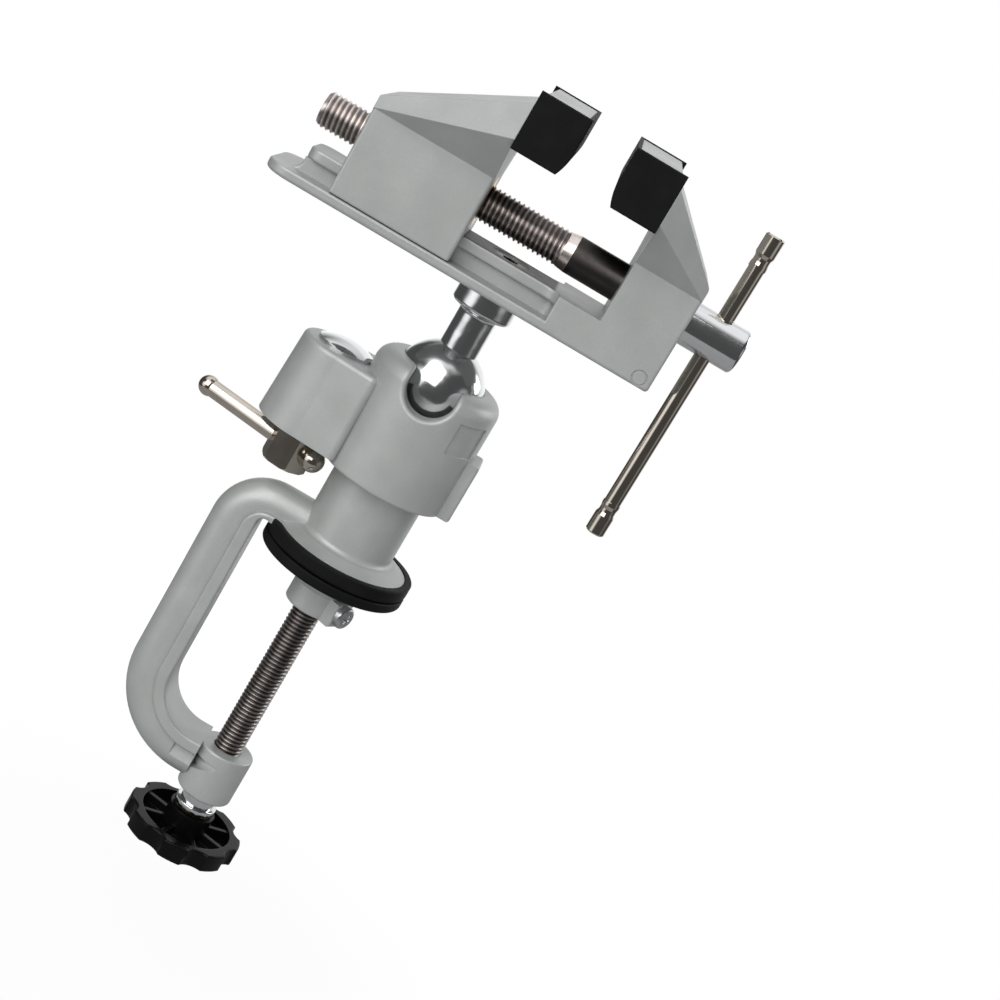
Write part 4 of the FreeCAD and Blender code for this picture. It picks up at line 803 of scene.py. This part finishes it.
class BALLVISE_OT_stop_collar(bpy.types.Operator):
    """Make the turned collar above the knob: a rounded flange and a narrower neck"""

    bl_idname = "ball_vise.stop_collar"
    bl_label = "Stop collar"

    def execute(self, context):
        sizes = context.scene.ball_vise_threads
        low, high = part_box("screw_collar")
        radius = (high.x - low.x) / 2
        edge = sizes.stop_edge
        flange = low.z + sizes.stop_flange
        profile = [(low.z, 0.0)]
        for a in np.linspace(0, math.pi / 2, 6):
            profile.append((low.z + edge * (1 - math.cos(a)), radius - edge + edge * math.sin(a)))
        profile += rounded_rim(flange, radius, edge, 6)
        profile += [(flange, sizes.stop_neck), (high.z, sizes.stop_neck), (high.z, 0.0)]
        along, outline = np.array(profile).T
        places = spread(along, sizes.segments)
        rings = spread(outline, sizes.segments)
        mesh = revolve_mesh("screw_collar_turned", places, rings, ORIGIN, Z_AXIS, X_AXIS)
        sharpen(mesh, 35)
        made = finishes(context.scene)
        add_piece("screw_collar_turned", mesh, "screw", "zinc_steel", (made["polished"],), "screw_collar")
        return {"FINISHED"}


def cross_recess(sizes, radius, angle):
    """Depth of a cross recess at a place on the head: deep on two crossed arms, with sloped walls."""
    x = np.abs(radius * np.cos(angle))
    y = np.abs(radius * np.sin(angle))
    soft = 0.25 * MM
    rise = 0.55  # share of the depth that is lost at the arms' tips
    along = np.maximum(x, y)
    across = np.minimum(x, y)
    arm = 1 - smoothstep(sizes.cross_width - soft, sizes.cross_width + soft, across)
    arm *= 1 - smoothstep(sizes.cross_reach - 2 * soft, sizes.cross_reach, along)
    slope = 1 - rise * np.clip(along / sizes.cross_reach, 0, 1)
    return sizes.cross_depth * arm * slope


def furthest(name, axis):
    """How far a CAD node reaches along an axis through the origin."""
    return float((node_points(name) @ axis).max())


class BALLVISE_OT_plate_screw(bpy.types.Operator):
    """Make the pan-head screw with its cross recess that holds the clamp screw in the pressure plate"""

    bl_idname = "ball_vise.plate_screw"
    bl_label = "Plate screw"

    def execute(self, context):
        sizes = context.scene.ball_vise_fasteners
        threads = context.scene.ball_vise_threads
        columns = 96
        flat_rows = 44  # enough for the cross on the flat top
        cross_turn = math.radians(20)
        turned = math.radians(sizes.pan_angle)
        axis = np.array([math.cos(turned), math.sin(turned), 0.0])
        low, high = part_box("plate_screw")
        drop = (low.z + high.z) / 2
        head = (high.z - low.z) / 2
        top = furthest("plate_screw", axis)
        face = top - sizes.pan_height
        edge = sizes.pan_height / 2
        tip = threads.groove_radius + threads.tip_gap
        angle = TURN * np.arange(columns) / columns
        flat_radii = np.linspace(0, head - edge, flat_rows)[::-1]
        profile = [(tip, 0.0), (tip, sizes.pan_shank), (face, sizes.pan_shank)]
        profile += [(face, head), (top - edge, head)]
        profile += rounded_rim(top, head, edge, 9)[1:]
        profile += [(top, r) for r in flat_radii[1:]]
        along, outline = np.array(profile).T
        rings = spread(outline, columns)
        places = spread(along, columns)
        on_top = np.arange(len(along)) >= len(along) - flat_rows
        places -= cross_recess(sizes, rings, angle[None, :] + cross_turn) * on_top[:, None]
        mesh = revolve_mesh("plate_screw_head", places, capped(rings), (0, 0, drop), axis, Z_AXIS)
        sharpen(mesh, 35)
        made = finishes(context.scene)
        add_piece("plate_screw_head", mesh, "plate", "zinc_steel", (made["zinc"],), "plate_screw")
        return {"FINISHED"}


class BALLVISE_OT_stud_bolt(bpy.types.Operator):
    """Make the countersunk bolt with its hexagon socket that holds the base on the ball stud"""

    bl_idname = "ball_vise.stud_bolt"
    bl_label = "Stud bolt"

    def execute(self, context):
        sizes = context.scene.ball_vise_fasteners
        columns = 72
        low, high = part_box("stud_bolt")
        head = (high.x - low.x) / 2
        shank = sizes.socket_shank
        angle = TURN * np.arange(columns) / columns
        sector = (angle + math.pi / 6) % (math.pi / 3) - math.pi / 6
        hexagon = sizes.socket_flats / 2 / np.cos(sector)
        circle = np.ones(columns)
        floor = high.z - sizes.socket_depth
        rim = 0.25 * MM  # the socket's chamfer
        lip = 0.15 * MM  # the broken outer edge: its height, and how far it steps in below and above
        lip_below = 0.1 * MM
        lip_above = 0.3 * MM
        drill_depth = 0.8 * MM
        drill_share = 0.6  # the drilled cone's width against the socket's
        rows = [
            (low.z, 0 * circle),
            (low.z, shank * circle),
            (high.z - (head - shank), shank * circle),
            (high.z - lip, (head - lip_below) * circle),
            (high.z, (head - lip_above) * circle),
            (high.z, hexagon + rim),
            (high.z - rim, hexagon),
            (floor, hexagon),
            (floor, drill_share * hexagon),
            (floor - drill_depth, 0 * circle),
        ]
        rings = np.array([row[1] for row in rows])
        places = spread(np.array([row[0] for row in rows]), columns)
        mesh = revolve_mesh("stud_bolt_socket", places, rings, ORIGIN, Z_AXIS, X_AXIS)
        sharpen(mesh, 30)
        made = finishes(context.scene)
        # the stud bolt is blackened steel, dark also as painted shade under the lead screw
        add_piece("stud_bolt_socket", mesh, "head", "zinc_steel", (made["blackened_and_shaded"],), "stud_bolt")
        return {"FINISHED"}


def soft_box(name, place, target, width, height, power, tint):
    """A rectangular lamp that looks at a point."""
    lamp = bpy.data.lights.new(name, "AREA")
    lamp.shape = "RECTANGLE"
    lamp.size = width
    lamp.size_y = height
    lamp.energy = power
    lamp.color = tint
    made = bpy.data.objects.new(name, lamp)
    made.location = place
    made.rotation_euler = (Vector(target) - Vector(place)).to_track_quat("-Z", "Y").to_euler()
    bpy.context.scene.collection.objects.link(made)
    return made


def lobe(tree, direction, toward, inner, outer, strength):
    """A soft round window of light in the world, toward a direction, between two half angles in degrees."""
    dot = node(tree, "ShaderNodeVectorMath", operation="DOT_PRODUCT")
    tree.links.new(direction, dot.inputs[0])
    dot.inputs[1].default_value = Vector(toward).normalized()
    edges = (math.cos(math.radians(outer)), math.cos(math.radians(inner)))
    return ramp(tree, dot.outputs["Value"], *edges, 0.0, strength)


def studio_world(scene):
    """White to the camera, plain grey light, and for gloss a dark room with papers and windows."""
    world = bpy.data.worlds.new("Studio")
    scene.world = world
    world.use_nodes = True
    tree = world.node_tree
    tree.nodes.clear()
    path = node(tree, "ShaderNodeLightPath")
    direction = node(tree, "ShaderNodeTexCoord").outputs["Generated"]
    walls = 0.09  # how bright the dark room is, where 1 is white
    paper = lobe(tree, direction, toward=(0.25, 1.0, 0.1), inner=28.0, outer=48.0, strength=1.1)
    overhead = lobe(tree, direction, toward=(-0.2, 0.1, 1.0), inner=28.0, outer=48.0, strength=1.1)
    window = lobe(tree, direction, toward=(-0.78, -0.62, 0.05), inner=14.0, outer=27.0, strength=1.4)
    side = lobe(tree, direction, toward=(1.0, -0.35, 0.1), inner=8.0, outer=22.0, strength=0.5)
    papers = math_node(tree, "ADD", paper, overhead)
    windows = math_node(tree, "ADD", window, side)
    room = math_node(tree, "ADD", math_node(tree, "ADD", papers, windows), walls)
    grey = node(tree, "ShaderNodeBackground", i_Color=WHITE, i_Strength=0.27)
    gloss = node(tree, "ShaderNodeBackground", i_Color=WHITE)
    tree.links.new(room, gloss.inputs["Strength"])
    white = node(tree, "ShaderNodeBackground", i_Color=WHITE, i_Strength=1.0)
    first = node(tree, "ShaderNodeMixShader")
    tree.links.new(path.outputs["Is Glossy Ray"], first.inputs[0])
    tree.links.new(grey.outputs[0], first.inputs[1])
    tree.links.new(gloss.outputs[0], first.inputs[2])
    second = node(tree, "ShaderNodeMixShader")
    tree.links.new(path.outputs["Is Camera Ray"], second.inputs[0])
    tree.links.new(first.outputs[0], second.inputs[1])
    tree.links.new(white.outputs[0], second.inputs[2])
    out = node(tree, "ShaderNodeOutputWorld")
    tree.links.new(second.outputs[0], out.inputs["Surface"])


def floor_finish(rgb):
    """A matt pale floor that is white to the camera, keeps a faint shadow and has no horizon.

    The share of plain white grows with the distance from the part, by the Object coordinates.
    """
    material = bpy.data.materials.new("Studio floor")
    material.use_nodes = True
    tree = material.node_tree
    shader = tree.nodes["Principled BSDF"]
    shader.inputs["Base Color"].default_value = (*rgb, 1.0)
    shader.inputs["Roughness"].default_value = 0.9
    shader.inputs["Specular IOR Level"].default_value = 0.1
    place = node(tree, "ShaderNodeTexCoord").outputs["Object"]
    distance = node(tree, "ShaderNodeVectorMath", operation="LENGTH")
    tree.links.new(place, distance.inputs[0])
    far = ramp(tree, distance.outputs["Value"], low=0.2, high=0.38, to_low=0.86, to_high=1.0)
    path = node(tree, "ShaderNodeLightPath")
    share = math_node(tree, "MULTIPLY", path.outputs["Is Camera Ray"], far)
    glow = node(tree, "ShaderNodeEmission", i_Color=WHITE, i_Strength=1.08)
    mix = node(tree, "ShaderNodeMixShader")
    tree.links.new(share, mix.inputs[0])
    tree.links.new(shader.outputs[0], mix.inputs[1])
    tree.links.new(glow.outputs[0], mix.inputs[2])
    tree.links.new(mix.outputs[0], tree.nodes["Material Output"].inputs["Surface"])
    return material


class BALLVISE_OT_stage(bpy.types.Operator):
    """Set the camera, the floor and the soft studio light"""

    bl_idname = "ball_vise.stage"
    bl_label = "Stage"

    def execute(self, context):
        scene = context.scene
        sizes = scene.ball_vise_stage
        scene.view_settings.view_transform = "Standard"
        data = bpy.data.cameras.new("Camera")
        data.sensor_width = 36.0
        data.lens = sizes.lens
        data.clip_start = 0.01
        camera = bpy.data.objects.new("Camera", data)
        scene.collection.objects.link(camera)
        turn = Matrix.Rotation(math.radians(sizes.yaw), 4, "Z")
        turn = turn @ Matrix.Rotation(math.radians(-sizes.pitch), 4, "X")
        turn = turn @ Matrix.Rotation(math.radians(sizes.roll), 4, "Y")
        turn = turn @ Matrix.Rotation(math.radians(90), 4, "X")
        place = Matrix.Translation((sizes.camera_x, sizes.camera_y, sizes.camera_z))
        camera.matrix_world = place @ turn
        scene.camera = camera
        half = sizes.floor_half
        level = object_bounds()[0][2] - sizes.floor_gap
        mesh = bpy.data.meshes.new("floor")
        corners = [(-half, -half, level), (half, -half, level), (half, half, level), (-half, half, level)]
        mesh.from_pydata(corners, [], [(0, 1, 2, 3)])
        mesh.materials.append(floor_finish(sizes.floor))
        floor = bpy.data.objects.new("floor", mesh)
        scene.collection.objects.link(floor)
        floor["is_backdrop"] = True
        centre = (0.0, 0.0, 0.05)
        soft_box(
            "Key", place=(-0.96, -1.84, 1.35), target=centre, width=2.2, height=2.2,
            power=sizes.light, tint=(1.0, 0.995, 0.985),
        )
        fill = soft_box(
            "Fill", place=(0.9, -1.9, 0.0), target=centre, width=1.6, height=1.6,
            power=0.22 * sizes.light, tint=(1.0, 1.0, 1.0),
        )
        fill.visible_glossy = False
        soft_box(
            "Rim", place=(0.9, 0.5, 0.6), target=centre, width=0.4, height=0.6,
            power=0.07 * sizes.light, tint=(0.97, 0.985, 1.0),
        )
        studio_world(scene)
        return {"FINISHED"}


STEPS = (
    BALLVISE_OT_castings,
    BALLVISE_OT_rubber_parts,
    BALLVISE_OT_bright_parts,
    BALLVISE_OT_knob,
    BALLVISE_OT_fittings,
    BALLVISE_OT_lead_screw,
    BALLVISE_OT_clamp_screw,
    BALLVISE_OT_stop_collar,
    BALLVISE_OT_plate_screw,
    BALLVISE_OT_stud_bolt,
    BALLVISE_OT_stage,
)


class BALLVISE_PT_panel(bpy.types.Panel):
    """Lists the steps that dress the vise"""

    bl_label = "Ball Vise"
    bl_idname = "BALLVISE_PT_panel"
    bl_space_type = "VIEW_3D"
    bl_region_type = "UI"
    bl_category = "Ball Vise"

    def draw(self, context):
        for step in STEPS:
            self.layout.operator(step.bl_idname)


SETTINGS = {
    "ball_vise_threads": BallViseThreads,
    "ball_vise_fasteners": BallViseFasteners,
    "ball_vise_finishes": BallViseFinishes,
    "ball_vise_stage": BallViseStage,
}


def register():
    for made in (*SETTINGS.values(), *STEPS, BALLVISE_PT_panel):
        bpy.utils.register_class(made)
    for name, made in SETTINGS.items():
        setattr(bpy.types.Scene, name, PointerProperty(type=made))


def unregister():
    for name in SETTINGS:
        delattr(bpy.types.Scene, name)
    for made in (BALLVISE_PT_panel, *reversed(STEPS), *reversed(SETTINGS.values())):
        bpy.utils.unregister_class(made)


def main():
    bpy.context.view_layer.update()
    register()
    for step in STEPS:
        group, name = step.bl_idname.split(".")
        getattr(getattr(bpy.ops, group), name)()


if __name__ == "__main__":
    main()
